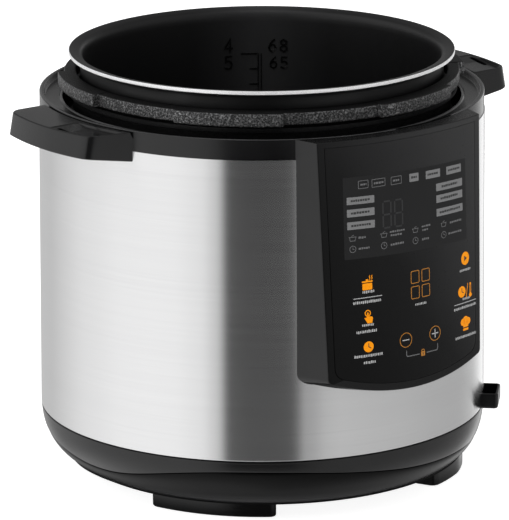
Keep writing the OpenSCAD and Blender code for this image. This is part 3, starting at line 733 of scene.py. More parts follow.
# plain stroke digits, as points on a 0..1 by 0..1.6 grid
STROKES = {
    "1": [[(0.25, 1.3), (0.55, 1.6), (0.55, 0.0)]],
    "2": [[(0.05, 1.3), (0.25, 1.55), (0.5, 1.6), (0.8, 1.5), (0.95, 1.25), (0.85, 0.95), (0.05, 0.0), (0.98, 0.0)]],
    "3": [[(0.05, 1.6), (0.9, 1.6), (0.45, 0.98), (0.75, 0.9), (0.95, 0.6), (0.85, 0.2), (0.5, 0.0), (0.2, 0.05), (0.02, 0.3)]],
    "4": [[(0.72, 0.0), (0.72, 1.6), (0.0, 0.5), (1.0, 0.5)]],
    "5": [[(0.9, 1.6), (0.15, 1.6), (0.1, 0.9), (0.45, 1.02), (0.8, 0.9), (0.95, 0.55), (0.8, 0.15), (0.45, 0.0), (0.02, 0.15)]],
    "6": [[(0.8, 1.6), (0.3, 1.15), (0.05, 0.6), (0.12, 0.2), (0.45, 0.0), (0.8, 0.12), (0.95, 0.5), (0.8, 0.85), (0.45, 0.95), (0.1, 0.7)]],
    "8": [[(0.5, 0.85), (0.15, 1.05), (0.1, 1.35), (0.5, 1.6), (0.9, 1.35), (0.85, 1.05), (0.5, 0.85), (0.08, 0.6), (0.05, 0.25), (0.5, 0.0),
           (0.95, 0.25), (0.92, 0.6), (0.5, 0.85)]],
    "0": [[(0.5, 1.6), (0.12, 1.3), (0.03, 0.8), (0.12, 0.3), (0.5, 0.0), (0.88, 0.3), (0.97, 0.8), (0.88, 1.3), (0.5, 1.6)]],
}


def ribbon(pts, w):
    """A flat ribbon of half width w along 2-D points, as quads with mitred joins."""
    quads = []
    left, right = [], []
    m = len(pts)
    for i, p in enumerate(pts):
        a = Vector(pts[i - 1]) if i else None
        b = Vector(pts[i + 1]) if i < m - 1 else None
        p = Vector(p)
        d = Vector((0, 0))
        if a is not None:
            d += (p - a).normalized()
        if b is not None:
            d += (b - p).normalized()
        d.normalize()
        nrm = Vector((-d.y, d.x))
        k = 1.0
        if a is not None and b is not None:
            k = 1 / max(0.45, nrm.dot(Vector((-(b - p).normalized().y, (b - p).normalized().x))))
        ext = Vector((0, 0))
        if a is None:
            ext = -d * w * 0.6
        if b is None:
            ext = d * w * 0.6
        left.append(tuple(p + nrm * w * k + ext))
        right.append(tuple(p - nrm * w * k + ext))
    for i in range(m - 1):
        quads.append([left[i], left[i + 1], right[i + 1], right[i]])
    return quads


def make_pot_marks():
    """Level marks pressed into the far wall: plain numbers and ticks, slightly proud of the coating."""
    verts, faces = [], []
    R = 111.0

    def add(quads, az0, z0, depth=0.4):
        for q in quads:
            k = len(verts)
            for off in (-0.05, depth):
                for u, v in q:
                    verts.append(polar(R - off, az0 + math.degrees(u / R), z0 + v))
            faces.extend([(k, k + 1, k + 2, k + 3), (k + 7, k + 6, k + 5, k + 4)])
            for i in range(4):
                j = (i + 1) % 4
                faces.append((k + i, k + 4 + i, k + 4 + j, k + j))

    def digit(ch, az, z, w, h, stroke):
        # seen from inside the pot, azimuth grows to the left, so u is mirrored
        for st in STROKES[ch]:
            add(ribbon([(-(x - 0.5) * w, y / 1.6 * h) for x, y in st], stroke), az, z)

    cam = -36.5
    # azimuths as seen from the camera: 180 is straight behind the axis
    def at(photo_az):
        return photo_az + cam
    digit("4", at(-169.0), 241.8, 4.6, 8.4, 0.55)
    digit("5", at(-169.0), 230.6, 4.6, 8.4, 0.55)
    for z in (240.5,):
        add(ribbon([(-5.5, 0), (5.0, 0)], 0.3), at(-175.7), z)
    for u in (-1.0, 1.0):
        add(ribbon([(u, 0), (u, -46)], 0.3), at(-179.4), 240.5)
    for i in range(1, 5):
        add(ribbon([(1.5, 0), (6.5, 0)], 0.3), at(-179.4), 240.5 - 10 * i)
    digit("6", at(176.4), 241.8, 4.6, 8.0, 0.55)
    digit("8", at(172.6), 241.8, 4.6, 8.0, 0.55)
    digit("6", at(176.0), 231.0, 4.4, 7.2, 0.5)
    digit("5", at(172.4), 231.0, 4.4, 7.2, 0.5)
    ob = piece("pot_level_marks", verts, faces, "mark", "pot", weighted=False, sharp=30)


def make_lock_ring():
    z0, z1 = RING0 + 2.0, RING1 + 4.2
    lugs = [14 + 60 * i for i in range(6)]
    half = 31 / 2

    def out_r(az):
        d = min(abs((az - c + 180) % 360 - 180) for c in lugs)
        t = (d - (half - 0.3)) / 0.6
        t = max(0.0, min(1.0, t))
        t = t * t * (3 - 2 * t)
        return 126.9 + (122.9 - 126.9) * t, t

    rnd = random.Random(5)
    waves = [(rnd.uniform(0, 6.28), k, 0.05 / (1 + k / 60)) for k in (23, 41, 67, 97, 131)]

    def prof(az):
        r, t = out_r(az)
        w = sum(a * math.sin(math.radians(az) * k + p) for p, k, a in waves)
        r = r + w
        drop = 0.5 * t
        top = z1 - drop
        return [(115.4, z0 + 0.5), (115.55, z0 + 0.15), (115.9, z0), (r - 1.0, z0), (r - 0.35, z0 + 0.1), (r - 0.15, z0 + 0.4), (r, z0 + 1.0),
                (r, top - 1.1), (r - 0.1, top - 0.65), (r - 0.35, top - 0.25), (r - 0.8, top - 0.06), (r - 1.6, top),
                (117.0, z1 - 0.05), (116.1, z1 - 0.15), (115.6, z1 - 0.45), (115.4, z1 - 1.0)]
    azs = []
    a = 0.0
    while a < 359.99:
        azs.append(round(a, 3))
        d = min(abs((a - c + 180) % 360 - 180) for c in lugs)
        a += 0.1 if abs(d - half) < 0.8 else 0.6

    rings = [[polar(r, q, z) for r, z in prof(q)] for q in azs]
    verts, faces = loft(rings, wrap_u=True, wrap_v=True)
    index = []
    for f in faces:
        p = [Vector(verts[i]) for i in f]
        nz = (p[2] - p[0]).cross(p[3] - p[1]).normalized().z
        # the upper upward faces take the darker copy: painted shade on the ring's top
        index.append(1 if abs(nz) > 0.8 and p[0].z > (z0 + z1) / 2 else 0)
    ob = piece("lock_ring_cast", verts, faces, ["cast", "cast_top"], index=index, sharp=60)
    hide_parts("lock_ring")


make_shell()
make_base()
make_feet()
make_top_ring()
make_inner_pot()
make_pot_marks()
make_lock_ring()


# ------------------------------------------------------------------ CAD solids copied with their edges eased
def eased(node, name, mats, width, body="cooker", angle=28, segments=3, flat=0.6, subdivide=None):
    """A copy of a CAD solid: coplanar faces joined, edges rounded, normals weighted to the flat faces."""
    src = NODES[node]
    me = src.data.copy()
    me.name = name
    me.materials.clear()
    for m in mats if isinstance(mats, (list, tuple)) else [mats]:
        me.materials.append(M[m])
    bm = bmesh.new()
    bm.from_mesh(me)
    bmesh.ops.remove_doubles(bm, verts=bm.verts, dist=3e-6)
    bmesh.ops.dissolve_limit(bm, angle_limit=math.radians(flat), verts=bm.verts, edges=bm.edges)
    bmesh.ops.recalc_face_normals(bm, faces=bm.faces)
    bm.to_mesh(me)
    bm.free()
    me.polygons.foreach_set("use_smooth", [True] * len(me.polygons))
    me.polygons.foreach_set("material_index", [0] * len(me.polygons))
    if me.has_custom_normals:
        me.normals_split_custom_set([(0, 0, 0)] * len(me.loops))
    ob = bpy.data.objects.new(name, me)
    scene.collection.objects.link(ob)
    b = ob.modifiers.new("edges", "BEVEL")
    b.limit_method = "ANGLE"
    b.angle_limit = math.radians(angle)
    b.width = width * MM
    b.segments = segments
    b.use_clamp_overlap = True
    b.harden_normals = False
    b.miter_outer = "MITER_ARC"
    w = ob.modifiers.new("weighted", "WEIGHTED_NORMAL")
    w.keep_sharp = False
    w.weight = 80
    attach(ob, body)
    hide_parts(node)
    return ob


# ------------------------------------------------------------------ handles and spoon socket
H_LO, H_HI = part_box("handle_right")
H_Z0, H_Z1 = H_LO.z / MM, H_HI.z / MM
H_R = H_HI.x / MM


def grip_outline(R, half, c, inner, n=26):
    """Outline of a handle seen from above, on +X: the outer arc, rounded corners, straight ends, and the back on the body."""
    cy = half - c
    cx = math.sqrt((R - c) ** 2 - cy * cy)
    a = math.atan2(cy, cx)
    pts = []
    for i in range(n + 1):
        q = -a + 2 * a * i / n
        pts.append((R * math.cos(q), R * math.sin(q)))
    for k in range(1, 9):
        q = a + (math.pi / 2 - a) * k / 8
        pts.append((cx + c * math.cos(q), cy + c * math.sin(q)))
    xi = math.sqrt(inner * inner - half * half)
    for k in range(1, 5):
        pts.append((cx + (xi - cx) * k / 4, half))
    b = math.atan2(half, xi)
    for i in range(1, n):
        q = b - 2 * b * i / n
        pts.append((inner * math.cos(q), inner * math.sin(q)))
    for k in range(4, 0, -1):
        pts.append((cx + (xi - cx) * k / 4, -half))
    for k in range(8, 0, -1):
        q = -(a + (math.pi / 2 - a) * k / 8)
        pts.append((cx + c * math.cos(q), -cy + c * math.sin(q)))
    return pts


def fill_between(loops, zfun):
    """Triangles for a flat region bounded by closed loops of (x, y); zfun gives the height at each point."""
    bm = bmesh.new()
    edges = []
    for loop in loops:
        vs = [bm.verts.new((x * MM, y * MM, 0)) for x, y in loop]
        edges += [bm.edges.new((vs[i], vs[(i + 1) % len(vs)])) for i in range(len(vs))]
    bmesh.ops.triangle_fill(bm, edges=edges, use_beauty=True, use_dissolve=False)
    bm.verts.index_update()
    vs = [(v.co.x / MM, v.co.y / MM, zfun(v.co.x / MM, v.co.y / MM)) for v in bm.verts]
    fs = [tuple(v.index for v in f.verts) for f in bm.faces]
    bm.free()
    return vs, fs


def rounded_loop(pts, r, n=5):
    return round_corners(pts, [r] * len(pts), n)


def make_handle(node, name, turn, mirror, near, near_body, far):
    half = 44.2
    crn = 9.5
    top = H_Z1
    zl = 230.0
    r_top = H_R - 2.6
    inner = 137.6
    verts, faces = [], []

    def under(x, y):
        r = math.hypot(x, y)
        return zl - (zl - H_Z0) * min(1.0, max(0.0, (H_R - 0.6 - r) / (H_R - 0.6 - inner)))

    def add(v, f):
        k = len(verts)
        verts.extend(v)
        faces.extend(tuple(i + k for i in g) for g in f)
    rings = []
    for z, inset in ((top, 0.75), (top - 0.1, 0.32), (top - 0.42, 0.06), (top - 0.9, 0.0), (top - 4.5, 0.0), (top - 9, 0.0), (zl + 1.4, 0.0)):
        R = r_top + (H_R - r_top) * (top - z) / (top - zl) - inset
        rings.append([(x, y, z) for x, y in grip_outline(R, half - inset, crn - inset * 0.5, inner + (1.9 if z > top - 2 else 0.0))])
    for up, inset in ((0.9, 0.0), (0.3, 0.12), (0.0, 0.6)):
        R = H_R - inset
        rings.append([(x, y, under(x, y) + up) for x, y in grip_outline(R, half - inset, crn - inset * 0.5, inner)])
    add(*loft(rings))
    # pocket in the top, toward the panel
    R = r_top - 0.75
    outer_top = grip_outline(R, half - 0.75, crn - 0.375, inner + 1.9)

    def pocket(d, far, back):
        """Outline of the pocket, drawn in by d from the handle's edge."""
        q = grip_outline(R - 0.6 - d, half - 1.35 - d, crn - 0.6 - d, 142.4 + back, 26)
        keep = [p for p in q if p[1] < far]
        # keep the order: start after the jump
        k = next(i for i in range(len(q)) if q[i][1] < far and q[i - 1][1] >= far)
        seq = [q[(k + i) % len(q)] for i in range(len(q)) if q[(k + i) % len(q)][1] < far]
        a, b = seq[0], seq[-1]
        ra, rb = math.hypot(*a), math.hypot(*b)
        first = (math.sqrt(ra * ra - far * far), far)
        last = (math.sqrt(rb * rb - far * far), far)
        return [last] + [(last[0] + (first[0] - last[0]) * i / 6, far) for i in range(1, 6)] + [first] + seq if ra > rb else [first] + seq + [last]
    far0 = -5.0
    p0 = pocket(0.0, far0, 0.0)
    p1 = pocket(0.25, far0 - 0.25, 0.25)
    p2 = pocket(0.45, far0 - 0.5, 0.5)
    add(*fill_between([outer_top, p0], lambda x, y: top))
    def floor_z(x, y):
        # shallow at the far end, deeper toward the near end
        t = min(1.0, max(0.0, (-y - 5) / 14))
        return top - 0.45 - 1.35 * t * t * (3 - 2 * t)
    r0 = [(x, y, top) for x, y in p0]
    r1 = [(x, y, top - 0.22) for x, y in p1]
    r2 = [(x, y, floor_z(x, y) + 0.2) for x, y in p2]
    p3 = pocket(0.75, far0 - 0.8, 0.8)
    r3 = [(x, y, floor_z(x, y)) for x, y in p3]
    add(*loft([r0, r1, r2, r3]))
    # slot in the pocket's floor, for a lid's ear
    c = [(157.6, -9.0), (160.6, -9.0), (159.4, -21.0), (157.2, -27.5), (154.6, -27.5), (156.6, -18.0)]
    s0 = rounded_loop(c, 0.8)
    v, f = fill_between([p3, s0], floor_z)
    add(v, f)
    add(*loft([[(x, y, floor_z(x, y)) for x, y in s0], [(x, y, top - 6.2) for x, y in s0]], cap1=True))
    # underside with the finger recess
    low = grip_outline(H_R - 0.6, half - 0.6, crn - 0.3, inner)
    g0 = grip_outline(H_R - 4.0, half - 5.4, crn - 4.0, 141.5)
    add(*fill_between([low, g0], under))
    g1 = grip_outline(H_R - 6.4, half - 6.4, crn - 5.0, 142.0)
    add(*loft([[(x, y, under(x, y)) for x, y in g0], [(x, y, 233.6) for x, y in g1]], cap1=True))
    out = []
    cs, sn = (1, 0) if not turn else (-1, 0)
    for x, y, z in verts:
        t = min(1.0, max(0.0, (154 - x) / 23))
        y *= (near + (near_body - near) * t if y < 0 else far) / half
        if mirror:
            y = -y
        out.append((x * cs, y * cs, z))
    ob = piece(name, out, faces, "black", sharp=38)
    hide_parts(node)


make_handle("handle_right", "side_grip_right", False, False, 46.6, 46.6, 44.6)
make_handle("handle_left", "side_grip_left", True, True, 41.6, 46.2, 45.4)


def make_socket():
    """Small open box on the side that holds a spoon: rounded corners, a lip round the mouth."""
    lo, hi = z_of("spoon_socket")
    hi += 1.3
    az = 47.0
    x0, x1, hw = 138.6, 150.0, 12.5

    def box(u0, u1, w, r, z):
        pts = []
        for cu, cv, a in ((u1 - r, w - r, 0), (u0 + 0.3, w - 0.3, 90), (u0 + 0.3, -w + 0.3, 180), (u1 - r, -w + r, 270)):
            rr = r if cu > u0 + 1 else 0.3
            for k in range(6):
                q = math.radians(a + 90 * k / 5)
                pts.append((cu + rr * math.cos(q), cv + rr * math.sin(q), z))
        return pts
    rings = [box(x0, x1 - 1.0, hw - 0.6, 1.6, lo), box(x0, x1 - 0.35, hw - 0.1, 2.0, lo + 0.5), box(x0, x1, hw, 2.2, lo + 1.6),
             box(x0, x1, hw, 2.2, hi - 1.0), box(x0, x1 - 0.2, hw - 0.2, 2.1, hi - 0.4), box(x0, x1 - 0.8, hw - 0.7, 1.8, hi),
             box(x0 + 1.0, x1 - 1.5, hw - 1.5, 1.2, hi), box(x0 + 1.2, x1 - 1.8, hw - 1.8, 1.1, hi - 0.4),
             box(x0 + 1.3, x1 - 2.1, hw - 2.1, 1.0, lo + 1.6)]
    verts, faces = loft(rings, cap0=True, cap1=True)
    a = math.radians(az)
    # u runs outwards, v along the wall
    out = [(u * math.sin(a) + v * math.cos(a), -u * math.cos(a) + v * math.sin(a), z) for u, v, z in verts]
    ob = piece("clip_socket", out, faces, "socket", sharp=40)
    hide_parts("spoon_socket")


make_socket()
eased("power_inlet", "inlet_body", "socket", 0.5)


# ------------------------------------------------------------------ panel
# front surface: a cone about an axis 50 mm behind the pot's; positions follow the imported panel's box
p_lo, p_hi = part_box("panel_housing")
f_lo, f_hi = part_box("panel_fascia")
PZ0, PZ1 = p_lo.z / MM, p_hi.z / MM
FRONT_C = 50.0
FACE = -0.36     # the fascia stands this far behind the border


def front_R(z):
    return 205.59 + (z - 60) / 200 * (197.37 - 205.59)


def front_y(x, z, off=0.0):
    """y of the front surface at x and z; off is outwards."""
    r = front_R(z) + off
    return FRONT_C - math.sqrt(r * r - x * x)


def side_half(z):
    """Half width of the front face at height z."""
    return 62.1 + (58.7 - 62.1) * (PZ1 - z) / (PZ1 - 99)


def low_z(x):
    return PZ0 + 3.2 + x * x / 340.0


def panel_outline(inset, corner, n_side=40, n_low=70, n_top=50, n_c=8):
    """Closed outline of the front face, drawn in by inset, as (x, z, nx, nz), starting at the top left and running down."""
    top = PZ1 - inset * 0.75
    pts = []
    # corner where the side meets the lower edge
    zc = 100.0
    for _ in range(30):
        xs = side_half(zc) - inset
        zc = low_z(xs) + inset
    # left side, straight down
    x_top = -(side_half(top) - inset)
    c = max(corner, 0.4)
    k = 1.1  # corner rounding in both directions
    z_end = zc + c * k
    for i in range(n_side):
        z = top + (z_end - top) * i / n_side
        pts.append((-(side_half(z) - inset), z, -1.0, 0.0))
    # lower left corner: a quadratic curve through the corner point
    xa, za = -(side_half(z_end) - inset), z_end
    xb = -(side_half(zc) - inset - c * k)
    zb = low_z(xb) + inset
    xm, zm = -(side_half(zc) - inset), low_z(side_half(zc) - inset) + inset
    for i in range(n_c):
        t = i / n_c
        x = (1 - t) ** 2 * xa + 2 * t * (1 - t) * xm + t * t * xb
        z = (1 - t) ** 2 * za + 2 * t * (1 - t) * zm + t * t * zb
        a = t * math.pi / 2
        pts.append((x, z, -math.cos(a), -math.sin(a)))
    for i in range(n_low + 1):
        x = xb + (-2 * xb) * i / n_low
        pts.append((x, low_z(x) + inset, 0.0, -1.0))
    for i in range(1, n_c + 1):
        t = i / n_c
        x = -((1 - t) ** 2 * xb + 2 * t * (1 - t) * xm + t * t * xa)
        z = (1 - t) ** 2 * zb + 2 * t * (1 - t) * zm + t * t * za
        a = t * math.pi / 2
        pts.append((x, z, math.sin(a), -math.cos(a)))
    for i in range(1, n_side + 1):
        z = z_end + (top - z_end) * i / n_side
        pts.append((side_half(z) - inset, z, 1.0, 0.0))
    for i in range(1, n_top):
        x = (side_half(top) - inset) * (1 - 2 * i / n_top)
        pts.append((x, top, 0.0, 1.0))
    return pts


def shell_hit(x, z, dx, dz, y0):
    """Walks back along +Y from the front edge until the shell or band is met."""
    lo, hi = 0.0, 60.0
    for _ in range(40):
        t = (lo + hi) / 2
        X, Y, Z = x + dx * t, y0 + t, z + dz * t
        R = (shell_r(Z) if Z < BAND else R_BAND) + 0.12
        if math.hypot(X, Y) > R:
            lo = t
        else:
            hi = t
    t = lo
    return (x + dx * t, y0 + t, z + dz * t)


def make_panel():
    edge = panel_outline(0.0, 2.2)
    n = len(edge)
    back, rings = [], []
    walls = []
    for x, z, nx, nz in edge:
        # walls flare outwards on their way back
        flare = 0.226 + (0.312 - 0.226) * (PZ1 - z) / (PZ1 - 99)
        y = front_y(x, z)
        dx = nx * flare
        dz = nz * (0.2126 if nz < 0 else 0.0)
        walls.append((x, y, z, dx, dz))
    joint = [shell_hit(x, z, dx, dz, y) for x, y, z, dx, dz in walls]
    # the wall starts on the shell and runs to the front edge
    def along(t):
        out = []
        for (x, y, z, dx, dz), j in zip(walls, joint):
            L = j[1] - y
            out.append((x + dx * L * (1 - t), y + L * (1 - t), z + dz * L * (1 - t)))
        return out
    inner_back = [(j[0] * 0.985, j[1] + 0.35, j[2] + (0.8 if j[2] < 120 else -0.8)) for j in joint]
    rings.append(inner_back)
    rings.append(joint)
    for t in (0.06, 0.25, 0.5, 0.75, 0.93):
        rings.append(along(t))
    # rounded front edge, then the border falling slightly to the groove
    soft = 0.55

    def front_ring(inset, off, corner):
        return [(x, front_y(x, z, off), z) for x, z, nx, nz in panel_outline(inset, corner)]
    rings.append([(x + dx * soft * 0.9, y + soft * 0.9, z + dz * soft * 0.9) for x, y, z, dx, dz in walls])
    rings.append([(x - nx * 0.06, front_y(x, z, -0.18), z - nz * 0.06) for (x, z, nx, nz) in edge])
    rings.append(front_ring(0.28, -0.03, 2.3))
    rings.append(front_ring(0.7, 0.0, 2.5))
    rings.append(front_ring(1.6, -0.06, 3.0))
    rings.append(front_ring(4.2, -0.3, 5.0))
    rings.append(front_ring(4.5, -0.36, 5.2))
    rings.append(front_ring(4.6, -0.6, 5.3))
    rings.append(front_ring(4.62, -1.5, 5.3))
    verts, faces = loft(rings, wrap_v=True)
    index = []
    for f in faces:
        c = [sum(verts[i][k] for i in f) / 4 for k in range(3)]
        k = f[0] % n
        if f[0] >= n * 9:
            # the border is as dark as the film and takes its painted reflection gradient; along the lower edge it is a
            # painted shade lighter
            index.append(1 if 48 <= k < 118 else 2)
        # the top face takes the darker ledge black: painted shade
        elif c[2] > PZ1 - 0.35 and f[0] < n * 7:
            index.append(1)
        else:
            # the underside of the lower left corner takes the dull shade black: painted shade
            index.append(3 if 44 <= k < 56 and f[0] < n * 8 else 0)
    ob = piece("panel_frame", verts, faces, ["panel", "ledge", "fascia", "painted_shade"], index=index, sharp=32)
    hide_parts("panel_housing")

    # fascia: a curved plate with eased edges. Its face is cut into strips that follow the curve, and its rim is lofted from that face's own edge
    last = panel_outline(5.2, 5.6)
    m = bmesh.new()
    m.faces.new([m.verts.new((x * MM, front_y(x, z, FACE) * MM, z * MM)) for x, z, nx, nz in last])
    bmesh.ops.triangulate(m, faces=m.faces[:], ngon_method="EAR_CLIP")
    for axis, step, a, b in (("x", 3.0, -60, 60), ("z", 12.0, 84, 246)):
        k = a
        while k < b:
            if axis == "x":
                bmesh.ops.bisect_plane(m, geom=m.verts[:] + m.edges[:] + m.faces[:], plane_co=(k * MM, 0, 0), plane_no=(1, 0, 0), dist=1e-7)
            else:
                bmesh.ops.bisect_plane(m, geom=m.verts[:] + m.edges[:] + m.faces[:], plane_co=(0, 0, k * MM), plane_no=(0, 0, 1), dist=1e-7)
            k += step
    m.verts.index_update()
    after = {}
    for e in m.edges:
        if e.is_boundary:
            lp = e.link_loops[0]
            after[lp.vert.index] = lp.link_loop_next.vert.index
    m.verts.ensure_lookup_table()
    first = min(after)
    order, v = [first], after[first]
    while v != first:
        order.append(v)
        v = after[v]
    # each edge point's place on the outline: segment and fraction
    where = []
    for v in order:
        x, z = m.verts[v].co.x / MM, m.verts[v].co.z / MM
        best = None
        for i in range(n):
            (ax, az), (bx, bz) = last[i][:2], last[(i + 1) % n][:2]
            dx, dz = bx - ax, bz - az
            t = max(0.0, min(1.0, ((x - ax) * dx + (z - az) * dz) / max(dx * dx + dz * dz, 1e-12)))
            d = math.hypot(ax + dx * t - x, az + dz * t - z)
            if best is None or d < best[0]:
                best = (d, i, t)
        where.append(best[1:])

    def spread(inset, off, corner):
        line = panel_outline(inset, corner)
        out = []
        for i, t in where:
            (ax, az), (bx, bz) = line[i][:2], line[(i + 1) % n][:2]
            x, z = ax + (bx - ax) * t, az + (bz - az) * t
            out.append((x, front_y(x, z, off), z))
        return out

    def edge_at(off):
        return [(x, front_y(x, z, off), z) for x, z in ((m.verts[v].co.x / MM, m.verts[v].co.z / MM) for v in order)]
    rings = [edge_at(-2.0)] + [spread(*q) for q in ((4.7, -1.9, 5.4), (4.7, -0.62, 5.4), (4.76, -0.46, 5.4), (4.9, -0.4, 5.5))] + [edge_at(FACE)]
    verts, faces = loft(rings)
    for off in (FACE, -2.0):
        k = len(verts)
        for q in m.verts:
            x, z = q.co.x / MM, q.co.z / MM
            verts.append((x, front_y(x, z, off), z))
        faces += [tuple(k + q.index for q in f.verts) for f in m.faces]
    m.free()
    ob = piece("fascia_plate", verts, faces, "fascia", sharp=32)
    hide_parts("panel_fascia")


make_panel()


# ------------------------------------------------------------------ printing on the panel


class Print:
    """Flat shapes in (x, z) on the panel face, turned into thin plates that follow its curve."""

    def __init__(self, name, mat, proud=0.07, drop=0.0):
        self.name, self.mat, self.proud, self.drop = name, mat, proud, drop
        self.shapes = []

    def poly(self, pts):
        self.shapes.append([tuple(p) for p in pts])
        return self

    def rect(self, x0, x1, z0, z1, r=0.0, slant=0.0):
        if r <= 0:
            return self.poly([(x0, z0), (x1, z0 + slant), (x1, z1 + slant), (x0, z1)])
        pts = []
        for cx, cz, a in ((x1 - r, z0 + r + slant, -90), (x1 - r, z1 - r + slant, 0), (x0 + r, z1 - r, 90), (x0 + r, z0 + r, 180)):
            for k in range(5):
                q = math.radians(a + 90 * k / 4)
                pts.append((cx + r * math.cos(q), cz + r * math.sin(q)))
        return self.poly(pts)

    def disc(self, cx, cz, rx, rz=None, n=28):
        rz = rz or rx
        return self.poly([(cx + rx * math.cos(2 * math.pi * i / n), cz + rz * math.sin(2 * math.pi * i / n)) for i in range(n)])

    def ring(self, cx, cz, r, w, n=40, a0=0, a1=360, rz=None):
        rz = rz or r
        m = max(4, int(n * (a1 - a0) / 360))
        for i in range(m):
            p, q = math.radians(a0 + (a1 - a0) * i / m), math.radians(a0 + (a1 - a0) * (i + 1) / m)
            self.poly([(cx + (r - w / 2) * math.cos(p), cz + (rz - w / 2) * math.sin(p)),
                       (cx + (r + w / 2) * math.cos(p), cz + (rz + w / 2) * math.sin(p)),
                       (cx + (r + w / 2) * math.cos(q), cz + (rz + w / 2) * math.sin(q)),
                       (cx + (r - w / 2) * math.cos(q), cz + (rz - w / 2) * math.sin(q))])
        return self

    def line(self, pts, w):
        for q in ribbon(pts, w / 2):
            self.poly(q)
        return self

    def frame(self, x0, x1, z0, z1, w, r=0.8):
        """An outlined rectangle with rounded corners."""
        def ring(d, rr):
            pts = []
            for cx, cz, a in ((x1 - rr - d, z0 + rr + d, -90), (x1 - rr - d, z1 - rr - d, 0), (x0 + rr + d, z1 - rr - d, 90), (x0 + rr + d, z0 + rr + d, 180)):
                for k in range(5):
                    q = math.radians(a + 90 * k / 4)
                    pts.append((cx + rr * math.cos(q), cz + rr * math.sin(q)))
            return pts
        o, i = ring(0, r), ring(w, max(0.05, r - w))
        m = len(o)
        for k in range(m):
            j = (k + 1) % m
            self.poly([o[k], o[j], i[j], i[k]])
        return self

    def dashes(self, x0, x1, z, h, seed):
        """A plain broken line in the place of a word."""
        rnd = random.Random(seed)
        x = x0
        small = h < 1.5
        h = h if small else h * 0.74
        while x < x1 - 0.5:
            w = min(rnd.uniform(0.9, 1.7) if small else rnd.uniform(0.5, 1.0), x1 - x)
            up = rnd.choice((0.0, 0.0, 0.16, -0.12)) * h
            self.rect(x, x + w, z - h / 2 + min(up, 0), z + h / 2 + max(up, 0), 0.12)
            x += w + (0.38 if small else 0.46)
        return self

    def make(self):
        bm = bmesh.new()
        for s in self.shapes:
            part = bmesh.new()
            f = part.faces.new([part.verts.new((x, 0, z)) for x, z in s])
            if len(s) > 4:
                bmesh.ops.triangulate(part, faces=[f], ngon_method="EAR_CLIP")
            lo, hi = min(p[0] for p in s), max(p[0] for p in s)
            k = math.floor(lo / 2.0) + 1
            while k * 2.0 < hi:
                bmesh.ops.bisect_plane(part, geom=part.verts[:] + part.edges[:] + part.faces[:], plane_co=(k * 2.0, 0, 0), plane_no=(1, 0, 0), dist=1e-5)
                k += 1
            r = bmesh.ops.extrude_face_region(part, geom=part.faces[:])
            for v in r["geom"]:
                if isinstance(v, bmesh.types.BMVert):
                    v.co.y = 1.0
            me = bpy.data.meshes.new("tmp")
            part.to_mesh(me)
            part.free()
            bm.from_mesh(me)
            bpy.data.meshes.remove(me)
        # walls that two neighbouring shapes share are inside the print, so they go
        at = {}
        for f in bm.faces:
            c = f.calc_center_median()
            if 0.1 < c.y < 0.9:
                at.setdefault((round(c.x, 4), round(c.z, 4)), []).append(f)
        bmesh.ops.delete(bm, geom=[f for fs in at.values() if len(fs) == 2 for f in fs], context="FACES")
        bmesh.ops.remove_doubles(bm, verts=bm.verts, dist=1e-4)
        for v in bm.verts:
            x, z = v.co.x, v.co.z
            off = FACE + self.drop + (self.proud if v.co.y > 0.5 else -0.06)
            v.co = Vector((x, front_y(x, z, off), z)) * MM
        bmesh.ops.recalc_face_normals(bm, faces=bm.faces)
        me = bpy.data.meshes.new(self.name)
        bm.to_mesh(me)
        bm.free()
        me.materials.append(M[self.mat])
        me.polygons.foreach_set("use_smooth", [True] * len(me.polygons))
        me.set_sharp_from_angle(angle=math.radians(30))
        ob = bpy.data.objects.new(self.name, me)
        scene.collection.objects.link(ob)
        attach(ob, "cooker")
        return ob


